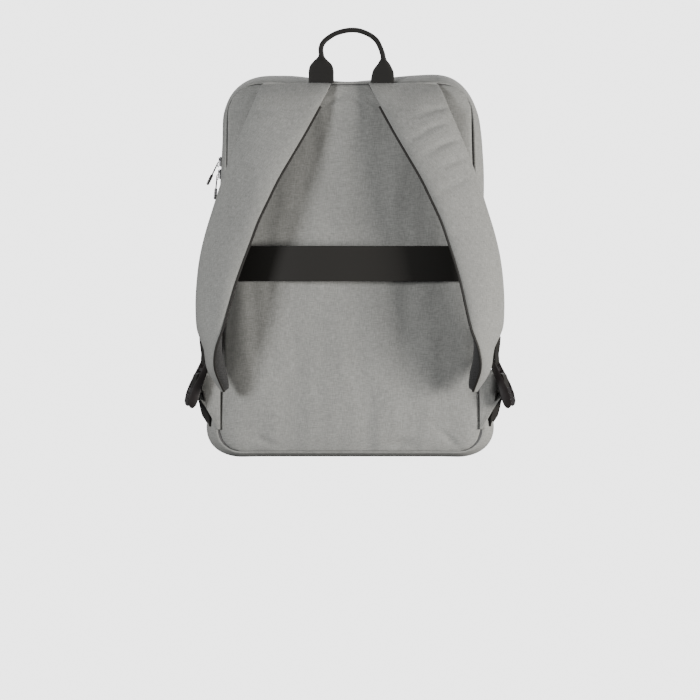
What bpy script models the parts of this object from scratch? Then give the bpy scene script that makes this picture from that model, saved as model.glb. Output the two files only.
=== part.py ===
"""Solar laptop backpack, built as an assembly of sewn panels, harness, zips and solar module.

Metres, +Z up. The harness side faces -Y and the solar module faces +Y.
Left and right are as seen when facing the harness side, so left is -X.
The bag stands on z = 0, and the main zip closes on the plane y = Y_ZIP.
"""

import math

import bmesh
import bpy
from mathutils import Vector

# The bag's form
HEIGHT = 0.450
HALF_BOTTOM = 0.169
HALF_TOP = 0.1515
LOWER_RADIUS = 0.042
UPPER_RADIUS = 0.055
Y_BACK = -0.075
Y_REAR_ROUND = -0.045
Y_ZIP = 0.010
Y_FRONT_ROUND = 0.055
Y_FRONT = 0.080
FRONT_TAPER = 0.42

# Outlines: half width low, half width high, low z, high z, lower radius, upper radius
FULL = (HALF_BOTTOM, HALF_TOP, 0.0, HEIGHT, LOWER_RADIUS, UPPER_RADIUS)
BACK_SEAM = (0.1535, 0.145, 0.0075, 0.4415, 0.025, 0.036)
FRONT_SEAM = (0.154, 0.140, 0.012, 0.438, 0.030, 0.044)
GROW_SIGNS = (1, 1, -1, 1, 1, 1)

# Thicknesses and clearances
CLOTH = 0.003
GAP = 0.0003
PART_GAP = 0.0005
WEBBING = 0.0014
TAPE = 0.0009
TAPE_WIDTH = 0.0125
STRAP_LINING = 0.0015
TAB = 0.0022

# Back panel: how far each layer stays inside the seam, and its thickness
SEAM_INSET = 0.0045
FOAM_INSET = 0.009
BOARD_INSET = 0.012
BACK_FOAM = 0.006
BACK_BOARD = 0.0015

# Pockets and boards inside: size and centre
SLEEVE_SIZE = (0.270, 0.0245, 0.273)
SLEEVE_CENTRE = (0.0, -0.0514, 0.1485)
SLEEVE_WALL = 0.002
BOTTOM_BOARD_SIZE = (0.236, 0.040, 0.002)
BOTTOM_BOARD_CENTRE = (0.0, -0.016, 0.0045)
POCKET_SIZE = (0.250, 0.0180, 0.370)
POCKET_CENTRE = (0.0, -0.0125, 0.215)
ORGANISER_SIZE = (0.220, 0.0120, 0.200)
ORGANISER_CENTRE = (0.0, -0.0280, 0.150)
POCKET_WALL = 0.001

# Carried pieces
BAND_LOW = 0.208
BAND_HIGH = 0.250
WEBBING_WIDTH = 0.025
HARNESS_Y = -0.078
HANDLE_Y = -0.0775
SEAM_TOP = 0.4405

# Zip sliders and their cord pullers: word, height, swing in degrees, offset from the zip
SLIDER_SIZE = (0.0030, 0.0090, 0.0120)
SLIDER_EDGE = 0.0008
CORD_RADIUS = 0.0011
PULLER_REACHES = (0.0, 0.009, 0.019, 0.028)
PULLER_DROP = 0.003
MAIN_SLIDERS = (("upper", 0.3540, 26.0, -0.0018), ("lower", 0.3390, 5.0, 0.0018))

# Ladder-lock: the bar that the strap's loop holds, and the frame that hangs from it
BAR_X = 0.1740
BAR_Z = 0.1130
LOOP_RADIUS = 0.0034
LOOP_TAIL = 0.0170
LOOP_STEP = 38.0
LOCK_LEAN = 18.0
LOCK_HALF = (0.0160, 0.0290)
LOCK_DROP = 0.0270
LOCK_THICKNESS = 0.0030
LOCK_SLOT_HALF = 0.0133
LOCK_SLOTS = ((0.0046, 0.0029), (0.0160, 0.0022), (0.0270, 0.0022))

# Half of the band's path from side to middle in x and y, and the lower webbing and tab in x and z
BAND_PATH = ((0.152, -0.0767), (0.142, -0.0822), (0.125, -0.0882), (0.100, -0.0925), (0.060, -0.0962))
BAND_MIDDLE = (0.0, -0.0975)
TAIL_PATH = (
    (0.1570, 0.0086), (0.1650, 0.0170), (0.1722, 0.0320), (0.1757, 0.0460),
    (0.1780, 0.0600), (0.1797, 0.0680), (0.1806, 0.0780),
)
TAB_OUTLINE = ((0.1548, 0.0800), (0.1782, 0.0722), (0.1788, 0.0705), (0.1568, 0.0352), (0.1552, 0.0358))

# Solar module, in the sloping frame of the front face
MODULE_Z = 0.262
MODULE_HALF = (0.100, 0.135)
CELL = (0.088, 0.060)
CELL_GAP = 0.0035
CELL_COLUMN = 0.0465
CELL_ROWS = 4
CELL_CUT = 0.006
RIBBON_HALF = 0.003
BACKING = 0.0012
CELL_THICKNESS = 0.0004
LAMINATE_THICKNESS = 0.0008
BORDER_OUT = 0.010
BORDER_IN = 0.005
POCKET_ZIP_Z = 0.098
POCKET_SLIDER_X = -0.098
SLOT_HALF = (0.100, 0.0045)
POCKET_TAPE_HALF = (0.108, 0.0130)

# Regulator
REGULATOR_Z = 0.300
REGULATOR_SIZE = (0.068, 0.0123, 0.038)
REGULATOR_WALL = 0.0016
WINDOW_HALF = (0.0365, 0.0215)
NOTCH_SIZE = (0.0150, 0.0200, 0.0060)
NOTCH_Y = -0.0122
SOCKET_SIZE = (0.0133, 0.0059, 0.0120)
SOCKET_WALL = 0.0004
SOCKET_Y = -0.0052
SOCKET_RISE = 0.0062
CIRCUIT_SIZE = (0.060, 0.0016, 0.030)
CIRCUIT_Y = -0.0093
COVER_SIZE = (0.068, 0.0018, 0.038)
COVER_Y = -0.0138

STRAP_STATIONS = (
    # inner x, inner z, outer x, outer z, middle y, width, thickness
    (0.0205, SEAM_TOP, 0.1045, SEAM_TOP, -0.0830, 0.084, 0.0070),
    (0.0360, 0.414, 0.1100, 0.430, -0.0920, 0.076, 0.0085),
    (0.0520, 0.384, 0.1190, 0.408, -0.1000, 0.072, 0.0090),
    (0.0680, 0.356, 0.1300, 0.382, -0.1060, 0.069, 0.0090),
    (0.0840, 0.328, 0.1415, 0.353, -0.1110, 0.066, 0.0090),
    (0.0970, 0.301, 0.1525, 0.322, -0.1145, 0.064, 0.0090),
    (0.1080, 0.277, 0.1620, 0.292, -0.1170, 0.062, 0.0090),
    (0.1170, 0.252, 0.1710, 0.262, -0.1180, 0.060, 0.0085),
    (0.1250, 0.229, 0.1770, 0.235, -0.1185, 0.058, 0.0085),
    (0.1330, 0.203, 0.1805, 0.206, -0.1185, 0.055, 0.0080),
    (0.1400, 0.175, 0.1815, 0.176, -0.1175, 0.053, 0.0075),
    (0.1465, 0.150, 0.1800, 0.150, -0.1155, 0.050, 0.0070),
    (0.1530, 0.127, 0.1740, 0.127, -0.1120, 0.044, 0.0060),
    (0.1570, 0.107, 0.1665, 0.105, -0.1070, 0.036, 0.0050),
    (0.1510, 0.083, 0.1550, 0.081, -0.1020, 0.024, 0.0045),
)

HANDLE_STATIONS = (
    # x, z, breadth across the path, depth along y
    (-0.0339, 0.4436, 0.0300, 0.0024),
    (-0.0340, 0.4560, 0.0295, 0.0026),
    (-0.0340, 0.4660, 0.0220, 0.0050),
    (-0.0340, 0.4745, 0.0080, 0.0110),
    (-0.0342, 0.4850, 0.0055, 0.0135),
    (-0.0300, 0.4927, 0.0052, 0.0140),
    (-0.0194, 0.5003, 0.0052, 0.0140),
    (-0.0090, 0.5040, 0.0052, 0.0140),
    (0.0017, 0.5056, 0.0052, 0.0140),
    (0.0120, 0.5045, 0.0052, 0.0140),
    (0.0230, 0.5000, 0.0052, 0.0140),
    (0.0310, 0.4937, 0.0052, 0.0140),
    (0.0354, 0.4860, 0.0053, 0.0140),
    (0.0386, 0.4767, 0.0055, 0.0135),
    (0.0397, 0.4700, 0.0080, 0.0110),
    (0.0392, 0.4620, 0.0210, 0.0050),
    (0.0386, 0.4530, 0.0275, 0.0026),
    (0.0386, 0.4436, 0.0278, 0.0024),
)


def clear_scene():
    """Empty the scene of objects and of the collections made by an earlier run."""
    for item in list(bpy.data.objects):
        bpy.data.objects.remove(item, do_unlink=True)
    for group in list(bpy.data.collections):
        bpy.data.collections.remove(group)


def new_collection(name):
    """Add a collection to the scene."""
    group = bpy.data.collections.new(name)
    bpy.context.scene.collection.children.link(group)
    return group


def new_finish(name, colour, roughness, metallic=0.0):
    """Make a Principled material."""
    material = bpy.data.materials.new(name)
    material.use_nodes = True
    shader = material.node_tree.nodes["Principled BSDF"]
    shader.inputs["Base Color"].default_value = (*colour, 1.0)
    shader.inputs["Roughness"].default_value = roughness
    shader.inputs["Metallic"].default_value = metallic
    return material


def keep(item, finish, holder=None):
    """Put an object in the backpack's collection, with its finish and its parent."""
    for group in list(item.users_collection):
        group.objects.unlink(item)
    PARTS.objects.link(item)
    item.data.materials.clear()
    item.data.materials.append(finish)
    item.parent = holder
    return item


def keep_cutter(item, holder=None):
    """Put an object among the cutters, where it isn't built."""
    for group in list(item.users_collection):
        group.objects.unlink(item)
    CUTTERS.objects.link(item)
    item.parent = holder
    item.hide_render = True
    item.display_type = "WIRE"
    return item


def new_empty(name, location, turn=0.0):
    """Add an empty that holds a group of parts; turn is about X."""
    item = bpy.data.objects.new(name, None)
    item.location = location
    item.rotation_euler = (turn, 0.0, 0.0)
    PARTS.objects.link(item)
    return item


def outline_point(t, sizes):
    """Point of a rounded outline: 0 is its bottom centre, 5 its top centre, 1-2 and 3-4 its corners."""
    side = 1.0
    if t > 5.0:
        side = -1.0
        t = 10.0 - t
    if t < 0.0:
        side = -1.0
        t = -t
    half_low, half_high, low, high, r_low, r_high = sizes
    if t < 1.0:
        x = t * (half_low - r_low)
        z = low
    elif t < 2.0:
        angle = (t - 2.0) * math.pi / 2.0
        x = half_low - r_low + r_low * math.cos(angle)
        z = low + r_low + r_low * math.sin(angle)
    elif t < 3.0:
        x = half_low + (half_high - half_low) * (t - 2.0)
        z = low + r_low + (high - r_high - low - r_low) * (t - 2.0)
    elif t < 4.0:
        angle = (t - 3.0) * math.pi / 2.0
        x = half_high - r_high + r_high * math.cos(angle)
        z = high - r_high + r_high * math.sin(angle)
    else:
        x = (half_high - r_high) * (5.0 - t)
        z = high
    return side * x, z


def grown(sizes, grow):
    """An outline's sizes, moved out by grow all round."""
    return [size + sign * grow for size, sign in zip(sizes, GROW_SIGNS)]


def full_outline(sizes, corner_steps=5):
    """All the points of a rounded outline, in order."""
    corner = [step / corner_steps for step in range(corner_steps + 1)]
    stops = [1.0 + part for part in corner] + [3.0 + part for part in corner]
    stops += [6.0 + part for part in corner] + [8.0 + part for part in corner]
    return [outline_point(t, sizes) for t in stops]


def rounded_rectangle(half_x, half_z, radius, x=0.0, z=0.0, corner_steps=3):
    """A rectangle with round corners, about a centre."""
    sizes = (half_x, half_x, -half_z, half_z, radius, radius)
    return [(x + px, z + pz) for px, pz in full_outline(sizes, corner_steps)]


def section(y, grow=0.0):
    """The bag's outline sizes where the plane y cuts its skin."""
    if y < Y_REAR_ROUND:
        reach = (Y_REAR_ROUND - y) / (Y_REAR_ROUND - Y_BACK)
        seam = BACK_SEAM
    else:
        reach = max(0.0, (y - Y_FRONT_ROUND) / (Y_FRONT - Y_FRONT_ROUND))
        seam = FRONT_SEAM
    blend = 1.0 - math.sqrt(max(0.0, 1.0 - reach * reach))
    sizes = [wide + (narrow - wide) * blend for wide, narrow in zip(FULL, seam)]
    return grown(sizes, grow)


def skin_point(t, y, grow=0.0):
    """Point of the bag's skin; the front half gets shallower towards the top."""
    x, z = outline_point(t, section(y, grow))
    if y > Y_ZIP:
        y = Y_ZIP + (y - Y_ZIP) * (1.0 - FRONT_TAPER * z / HEIGHT)
    return Vector((x, y, z))


def mapped_grid(name, columns, rows, place, finish, outward=True):
    """A grid whose corner (column, row) is moved to place(column, row)."""
    mesh = bpy.data.meshes.new(name)
    work = bmesh.new()
    bmesh.ops.create_grid(work, x_segments=columns - 1, y_segments=rows - 1, size=0.5)
    for corner in work.verts:
        column = round((corner.co.x + 0.5) * (columns - 1))
        row = round((corner.co.y + 0.5) * (rows - 1))
        corner.co = place(column, row)
    if outward:
        bmesh.ops.reverse_faces(work, faces=work.faces)
    work.to_mesh(mesh)
    work.free()
    item = bpy.data.objects.new(name, mesh)
    return keep(item, finish)


def thicken(item, thickness, offset):
    """Give a surface its wall: offset -1 is inwards and 1 outwards."""
    wall = item.modifiers.new("wall", "SOLIDIFY")
    wall.thickness = thickness
    wall.offset = offset
    wall.use_even_offset = False
    return item


def wrapped_panel(name, around, across, thickness, finish, grow=0.0, offset=-1.0):
    """A sewn panel that follows the bag's skin."""
    def place(column, row):
        return skin_point(around[column], across[row], grow)
    item = mapped_grid(name, len(around), len(across), place, finish)
    return thicken(item, thickness, offset)


def extruded(name, outlines, depth, middle, finish, holder=None, flat=False):
    """Outlines in x and z, or in x and y where flat, extruded by depth about the middle."""
    curve = bpy.data.curves.new(name, "CURVE")
    curve.dimensions = "2D"
    curve.fill_mode = "BOTH"
    curve.extrude = depth / 2.0
    for outline in outlines:
        spline = curve.splines.new("POLY")
        spline.points.add(len(outline) - 1)
        for point, (across, along) in zip(spline.points, outline):
            point.co = (across, along, 0.0, 1.0)
        spline.use_cyclic_u = True
    item = bpy.data.objects.new(name, curve)
    if flat:
        item.location = (0.0, 0.0, middle)
    else:
        item.rotation_euler = (math.pi / 2.0, 0.0, 0.0)
        item.location = (0.0, middle, 0.0)
    return keep(item, finish, holder)


def strip_outline(path, thickness):
    """The two sides of a strip that follows a path, as one outline."""
    left = []
    right = []
    for index, point in enumerate(path):
        before = Vector(path[max(0, index - 1)])
        after = Vector(path[min(len(path) - 1, index + 1)])
        along = (after - before).normalized()
        normal = Vector((-along.y, along.x)) * thickness / 2.0
        left.append(tuple(Vector(point) + normal))
        right.append(tuple(Vector(point) - normal))
    return left + right[::-1]


def block(name, size, centre, finish, holder=None, bevel=0.0):
    """A box with its edges eased."""
    bpy.ops.mesh.primitive_cube_add(size=1.0, location=(0.0, 0.0, 0.0))
    item = bpy.context.object
    item.name = name
    item.data.name = name
    for corner in item.data.vertices:
        corner.co = Vector((corner.co.x * size[0], corner.co.y * size[1], corner.co.z * size[2]))
    item.location = centre
    if bevel > 0.0:
        edge = item.modifiers.new("edge", "BEVEL")
        edge.width = bevel
        edge.segments = 2
    return keep(item, finish, holder)


def tray(name, size, centre, wall, mouth, finish, holder=None):
    """A box without the side that faces mouth, with walls inwards."""
    item = block(name, size, centre, finish, holder)
    work = bmesh.new()
    work.from_mesh(item.data)
    lid = [face for face in work.faces if face.normal.dot(Vector(mouth)) > 0.9]
    bmesh.ops.delete(work, geom=lid, context="FACES")
    work.to_mesh(item.data)
    work.free()
    return thicken(item, wall, -1.0)


def cord(name, points, radius, finish, holder=None):
    """A round cord along points."""
    curve = bpy.data.curves.new(name, "CURVE")
    curve.dimensions = "3D"
    curve.bevel_depth = radius
    curve.bevel_resolution = 2
    curve.use_fill_caps = True
    spline = curve.splines.new("POLY")
    spline.points.add(len(points) - 1)
    for point, place in zip(spline.points, points):
        point.co = (*place, 1.0)
    item = bpy.data.objects.new(name, curve)
    return keep(item, finish, holder)


def loft(name, rings, finish):
    """A closed body through rings of points, with flat ends and each half's diagonals alike."""
    mesh = bpy.data.meshes.new(name)
    work = bmesh.new()
    loops = [[work.verts.new(place) for place in ring] for ring in rings]
    count = len(loops[0])
    for lower, upper in zip(loops, loops[1:]):
        for index in range(count):
            after = (index + 1) % count
            if index < count // 2:
                work.faces.new((lower[index], lower[after], upper[after]))
                work.faces.new((lower[index], upper[after], upper[index]))
            else:
                work.faces.new((lower[index], lower[after], upper[index]))
                work.faces.new((lower[after], upper[after], upper[index]))
    work.faces.new(loops[0][::-1])
    work.faces.new(loops[-1])
    bmesh.ops.recalc_face_normals(work, faces=work.faces)
    work.to_mesh(mesh)
    work.free()
    item = bpy.data.objects.new(name, mesh)
    item.data.shade_smooth()
    item.data.set_sharp_from_angle(angle=math.radians(40))
    return keep(item, finish)


def corner_stops(first, steps=4):
    """Stops along one rounded corner of the outline."""
    return [first + step / steps for step in range(steps + 1)]


def build_half(prefix, across, finish):
    """The gusset of one half of the bag: bottom with its corners, two sides, and top with its corners."""
    split_low = 2.06
    split_high = 2.94
    step = 0.004
    lower = corner_stops(1.0)
    upper = corner_stops(3.0)
    bottom = [-split_low] + [-t for t in lower[::-1]] + [0.0] + lower + [split_low]
    top = [split_high] + upper + [5.0] + [10.0 - t for t in upper[::-1]] + [10.0 - split_high]
    side = [split_low + step, 2.35, 2.65, split_high - step]
    wrapped_panel(prefix + "_bottom_panel", bottom, across, CLOTH, finish)
    wrapped_panel(prefix + "_top_panel", top, across, CLOTH, finish)
    wrapped_panel(prefix + "_side_panel_right", side, across, CLOTH, finish)
    wrapped_panel(prefix + "_side_panel_left", [10.0 - t for t in side[::-1]], across, CLOTH, finish)


def build_zip_tape(name, across, finish):
    """One side's tape of the main zip, over the top and down both sides."""
    upper = corner_stops(3.0)
    around = [2.03, 2.5] + upper + [5.0] + [10.0 - t for t in upper[::-1]] + [7.5, 7.97]
    wrapped_panel(name, around, across, TAPE, finish, GAP, 1.0)


def build_back():
    """Back panel cover, foam and stiffening board."""
    layers = (
        ("back_panel", SEAM_INSET, CLOTH, GREY_CLOTH),
        ("back_foam", FOAM_INSET, BACK_FOAM, FOAM),
        ("back_board", BOARD_INSET, BACK_BOARD, BOARD),
    )
    y = Y_BACK
    for name, inset, thickness, finish in layers:
        outline = full_outline(grown(BACK_SEAM, -inset))
        extruded(name, [outline], thickness, y + thickness / 2.0, finish)
        y += thickness + GAP


def build_inside():
    """Laptop sleeve and bottom board in the rear half."""
    tray("laptop_sleeve", SLEEVE_SIZE, SLEEVE_CENTRE, SLEEVE_WALL, (0, 0, 1), LINING)
    block("bottom_board", BOTTOM_BOARD_SIZE, BOTTOM_BOARD_CENTRE, BOARD)


def build_band():
    """Band across the back that slips over a trolley handle."""
    path = [(-x, y) for x, y in BAND_PATH] + [BAND_MIDDLE] + list(BAND_PATH[::-1])
    depth = BAND_HIGH - BAND_LOW
    middle = (BAND_HIGH + BAND_LOW) / 2.0
    extruded("luggage_band", [strip_outline(path, WEBBING)], depth, middle, WEB, flat=True)


def build_handle():
    """Carrying handle: webbing, flat where it is sewn on and folded along its grip."""
    rings = []
    count = len(HANDLE_STATIONS)
    for index, (x, z, breadth, depth) in enumerate(HANDLE_STATIONS):
        before = HANDLE_STATIONS[max(0, index - 1)]
        after = HANDLE_STATIONS[min(count - 1, index + 1)]
        along = Vector((after[0] - before[0], after[1] - before[1])).normalized()
        across = Vector((-along.y, 0.0, along.x))
        middle = Vector((x, HANDLE_Y, z))
        ring = []
        for corner in range(8):
            angle = math.pi / 8.0 + corner * math.pi / 4.0
            reach = 1.0 / math.cos(math.pi / 8.0)
            side = across * math.cos(angle) * reach * breadth / 2.0
            back = Vector((0.0, math.sin(angle) * reach * depth / 2.0, 0.0))
            ring.append(middle + side + back)
        rings.append(ring)
    loft("carry_handle", rings, WEB)


def strap_surface(side, shift):
    """Corners of a strap's surface, moved off its middle by shift times its thickness plus a part."""
    rows = []
    for inner_x, inner_z, outer_x, outer_z, y, width, thickness in STRAP_STATIONS:
        seen = math.hypot(outer_x - inner_x, outer_z - inner_z)
        lean = math.sqrt(max(0.0, width * width - seen * seen)) / 2.0
        inner = Vector((inner_x, y - lean, inner_z))
        outer = Vector((outer_x, y + lean, outer_z))
        rows.append((inner, outer, thickness))
    surface = []
    last = len(rows) - 1
    for index, (inner, outer, thickness) in enumerate(rows):
        before = rows[max(0, index - 1)]
        after = rows[min(last, index + 1)]
        along = (after[0] + after[1] - before[0] - before[1]).normalized()
        across = (outer - inner).normalized()
        normal = along.cross(across).normalized()
        row = []
        for part in (0.0, 0.3, 0.7, 1.0):
            place = inner.lerp(outer, part) + normal * shift(thickness)
            place.x *= side
            row.append(place)
        surface.append(row)
    return surface


def build_strap_layer(name, side, near, far, finish):
    """One layer of a shoulder strap, between two distances from its middle surface."""
    lower = strap_surface(side, near)
    upper = strap_surface(side, far)
    rings = []
    for low, high in zip(lower, upper):
        rings.append(low + high[::-1])
    return loft(name, rings, finish)


def build_harness(word, side):
    """A shoulder strap with its lining, its loop, its ladder-lock and the webbing below."""
    def outer_face(thickness):
        return thickness / 2.0

    def inner_face(thickness):
        return -thickness / 2.0 + STRAP_LINING + PART_GAP

    def lining_top(thickness):
        return -thickness / 2.0 + STRAP_LINING

    def lining_low(thickness):
        return -thickness / 2.0

    build_strap_layer("strap_pad_" + word, side, inner_face, outer_face, GREY_CLOTH)
    build_strap_layer("strap_lining_" + word, side, lining_low, lining_top, MESH)

    loop = [(BAR_X - LOOP_RADIUS + PART_GAP, BAR_Z - LOOP_TAIL)]
    for step in range(8):
        angle = math.radians(180.0 - LOOP_STEP * step)
        loop.append((BAR_X + LOOP_RADIUS * math.cos(angle), BAR_Z + LOOP_RADIUS * math.sin(angle)))
    path = [(side * x, z) for x, z in loop]
    extruded("strap_loop_" + word, [strip_outline(path, WEBBING)], WEBBING_WIDTH, HARNESS_Y, WEB)

    path = [(side * x, z) for x, z in TAIL_PATH]
    extruded("lower_webbing_" + word, [strip_outline(path, WEBBING)], WEBBING_WIDTH, HARNESS_Y, WEB)

    path = [(side * x, z) for x, z in TAB_OUTLINE]
    extruded("anchor_tab_" + word, [path], TAB, Y_BACK - GAP - TAB / 2.0, GREY_CLOTH)

    build_ladder_lock(word, side)


def build_ladder_lock(word, side):
    """Ladder-lock buckle: a frame with three slots, hung from its top bar."""
    pivot = new_empty("ladder_lock_pivot_" + word, (side * BAR_X, HARNESS_Y, BAR_Z))
    lean = math.radians(LOCK_LEAN)
    pivot.rotation_euler = (0.0, -side * lean, 0.0)
    outlines = [rounded_rectangle(*LOCK_HALF, 0.0040, 0.0, -LOCK_DROP)]
    for drop, half in LOCK_SLOTS:
        outlines.append(rounded_rectangle(LOCK_SLOT_HALF, half, 0.0010, 0.0, -drop, 1))
    item = extruded("ladder_lock_" + word, outlines, LOCK_THICKNESS, 0.0, MOULDED, pivot)
    item.rotation_euler = (math.pi / 2.0, 0.0, math.pi / 2.0)


def build_main_sliders():
    """Two sliders at the left side, nose to nose, each with a cord puller."""
    slope = (HALF_BOTTOM - HALF_TOP) / (HEIGHT - UPPER_RADIUS - LOWER_RADIUS)
    for word, z, swing, offset in MAIN_SLIDERS:
        edge = HALF_BOTTOM - slope * (z - LOWER_RADIUS)
        x = -(edge + GAP + TAPE + PART_GAP + SLIDER_SIZE[0] / 2.0)
        slider = block("main_slider_" + word, SLIDER_SIZE, (x, Y_ZIP, z), METAL, None, SLIDER_EDGE)
        slider.rotation_euler = (0.0, math.atan(slope), 0.0)
        pivot = Vector((x - SLIDER_SIZE[0] / 2.0 - GAP - CORD_RADIUS, Y_ZIP + offset, z - PULLER_DROP))
        angle = math.radians(swing)
        down = Vector((-math.sin(angle), 0.0, -math.cos(angle)))
        joint = new_empty("main_puller_pivot_" + word, pivot)
        cord("main_puller_" + word, [down * reach for reach in PULLER_REACHES], CORD_RADIUS, CORD, joint)


def build_front_face(face):
    """Front panel, its pocket, and the pocket's zip, in the sloping frame of the front face."""
    cover = full_outline(grown(FRONT_SEAM, -SEAM_INSET))
    window = rounded_rectangle(*WINDOW_HALF, 0.003, 0.0, REGULATOR_Z)
    slot = rounded_rectangle(*SLOT_HALF, 0.003, 0.0, POCKET_ZIP_Z)
    extruded("front_panel", [cover, window, slot], CLOTH, -CLOTH / 2.0, GREY_CLOTH, face)
    tray("front_pocket", POCKET_SIZE, POCKET_CENTRE, POCKET_WALL, (0, 1, 0), LINING, face)
    tray("organiser_pocket", ORGANISER_SIZE, ORGANISER_CENTRE, POCKET_WALL, (0, 0, 1), MESH, face)
    tape = rounded_rectangle(*POCKET_TAPE_HALF, 0.002, 0.0, POCKET_ZIP_Z)
    extruded("pocket_zip", [tape], TAPE, GAP + TAPE / 2.0, TAPE_CLOTH, face)
    y = GAP + TAPE + PART_GAP + SLIDER_SIZE[0] / 2.0
    size = (SLIDER_SIZE[2], SLIDER_SIZE[0], SLIDER_SIZE[1])
    block("pocket_slider", size, (POCKET_SLIDER_X, y, POCKET_ZIP_Z), METAL, face, SLIDER_EDGE)
    y += SLIDER_SIZE[0] / 2.0 + GAP + CORD_RADIUS
    joint = new_empty("pocket_puller_pivot", (POCKET_SLIDER_X, y, POCKET_ZIP_Z))
    joint.parent = face
    cord("pocket_puller", [(0.0, 0.0, -reach) for reach in PULLER_REACHES], CORD_RADIUS, CORD, joint)


def cell_string_outline(x):
    """One column of cells with cut corners, joined by the ribbon that carries their current."""
    half_x = CELL[0] / 2.0
    half_z = CELL[1] / 2.0
    pitch = CELL[1] + CELL_GAP
    right = []
    for row in range(CELL_ROWS):
        z = MODULE_Z + (row - (CELL_ROWS - 1) / 2.0) * pitch
        right.append((RIBBON_HALF, z - half_z))
        right.append((half_x - CELL_CUT, z - half_z))
        right.append((half_x, z - half_z + CELL_CUT))
        right.append((half_x, z + half_z - CELL_CUT))
        right.append((half_x - CELL_CUT, z + half_z))
        right.append((RIBBON_HALF, z + half_z))
    return [(x + px, z) for px, z in right] + [(x - px, z) for px, z in right[::-1]]


def build_solar(face):
    """Solar module: backing, two strings of cells, clear laminate and sewn border."""
    half_x, half_z = MODULE_HALF
    sheet = rounded_rectangle(half_x, half_z, 0.008, 0.0, MODULE_Z)
    outer = rounded_rectangle(half_x + BORDER_OUT, half_z + BORDER_OUT, 0.014, 0.0, MODULE_Z)
    inner = rounded_rectangle(half_x - BORDER_IN, half_z - BORDER_IN, 0.006, 0.0, MODULE_Z)
    layers = (
        (("solar_backing",), ([sheet],), BACKING, PANEL_BACK),
        (("solar_cells_left", "solar_cells_right"),
         ([cell_string_outline(-CELL_COLUMN)], [cell_string_outline(CELL_COLUMN)]),
         CELL_THICKNESS, SILICON),
        (("solar_laminate",), ([sheet],), LAMINATE_THICKNESS, LAMINATE),
        (("solar_border",), ([outer, inner],), BACKING, WEB),
    )
    y = GAP
    for names, shapes, thickness, finish in layers:
        for name, outlines in zip(names, shapes):
            extruded(name, outlines, thickness, y + thickness / 2.0, finish, face)
        y += thickness + GAP


def build_regulator(face):
    """Regulator on the back of the module: case, board, socket and cover, inside the front pocket."""
    case = tray("regulator_case", REGULATOR_SIZE, (0.0, -GAP - REGULATOR_SIZE[1] / 2.0, REGULATOR_Z),
                REGULATOR_WALL, (0, -1, 0), MOULDED, face)
    notch_z = REGULATOR_Z - REGULATOR_SIZE[2] / 2.0
    notch = block("regulator_notch", NOTCH_SIZE, (0.0, NOTCH_Y, notch_z), MOULDED)
    keep_cutter(notch, face)
    cut = case.modifiers.new("notch", "BOOLEAN")
    cut.object = notch
    cut.operation = "DIFFERENCE"
    cut.solver = "EXACT"
    socket_centre = (0.0, SOCKET_Y, notch_z + SOCKET_RISE)
    tray("usb_socket", SOCKET_SIZE, socket_centre, SOCKET_WALL, (0, 0, -1), METAL, face)
    block("regulator_board", CIRCUIT_SIZE, (0.0, CIRCUIT_Y, REGULATOR_Z), CIRCUIT, face)
    block("regulator_cover", COVER_SIZE, (0.0, COVER_Y, REGULATOR_Z), MOULDED, face)


def build():
    """The whole backpack."""
    build_half("rear", (-0.0732, -0.0705, -0.0650, -0.0560, Y_REAR_ROUND, Y_ZIP - PART_GAP), GREY_CLOTH)
    build_half("front", (Y_ZIP + PART_GAP, Y_FRONT_ROUND, 0.0640, 0.0715, 0.0762, 0.0785), GREY_CLOTH)
    outer = TAPE_WIDTH + PART_GAP
    build_zip_tape("rear_zip_tape", (Y_ZIP - outer, Y_ZIP - PART_GAP), TAPE_CLOTH)
    build_zip_tape("front_zip_tape", (Y_ZIP + PART_GAP, Y_ZIP + outer), TAPE_CLOTH)
    build_back()
    build_inside()
    build_band()
    build_handle()
    build_harness("left", -1.0)
    build_harness("right", 1.0)
    build_main_sliders()
    slope = (Y_FRONT - Y_ZIP) * FRONT_TAPER / HEIGHT
    face = new_empty("front_face", (0.0, Y_FRONT, 0.0), math.atan(slope))
    build_front_face(face)
    build_solar(face)
    build_regulator(face)


clear_scene()
PARTS = new_collection("solar_backpack")
CUTTERS = new_collection("cutters")
GREY_CLOTH = new_finish("grey_melange_polyester", (0.24, 0.24, 0.225), 0.85)
LINING = new_finish("lining_polyester", (0.035, 0.035, 0.038), 0.7)
MESH = new_finish("spacer_mesh", (0.018, 0.017, 0.017), 0.9)
WEB = new_finish("black_webbing", (0.022, 0.018, 0.019), 0.75)
TAPE_CLOTH = new_finish("zip_tape", (0.025, 0.024, 0.025), 0.8)
CORD = new_finish("black_cord", (0.012, 0.011, 0.012), 0.6)
MOULDED = new_finish("moulded_acetal", (0.020, 0.016, 0.016), 0.3)
METAL = new_finish("plated_zinc", (0.08, 0.08, 0.085), 0.3, 1.0)
FOAM = new_finish("foam", (0.10, 0.10, 0.10), 0.95)
BOARD = new_finish("polyethylene_board", (0.05, 0.05, 0.05), 0.6)
SILICON = new_finish("silicon_cells", (0.010, 0.014, 0.035), 0.25)
LAMINATE = new_finish("clear_laminate", (0.55, 0.58, 0.62), 0.15)
PANEL_BACK = new_finish("module_backing", (0.015, 0.015, 0.017), 0.6)
CIRCUIT = new_finish("circuit_board", (0.01, 0.08, 0.035), 0.5)
build()
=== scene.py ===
# %% [markdown]
# # A solar laptop backpack
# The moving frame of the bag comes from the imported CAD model. This lesson gives each of its pieces
# the look of the real thing: woven cloth, webbing, mesh, moulded buckles, zips and a solar module.
# Everything is in metres, the harness faces -Y and the solar module faces +Y.

# %% Load the frame
import math

import bmesh
import bpy
from mathutils import Matrix, Vector, noise


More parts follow.
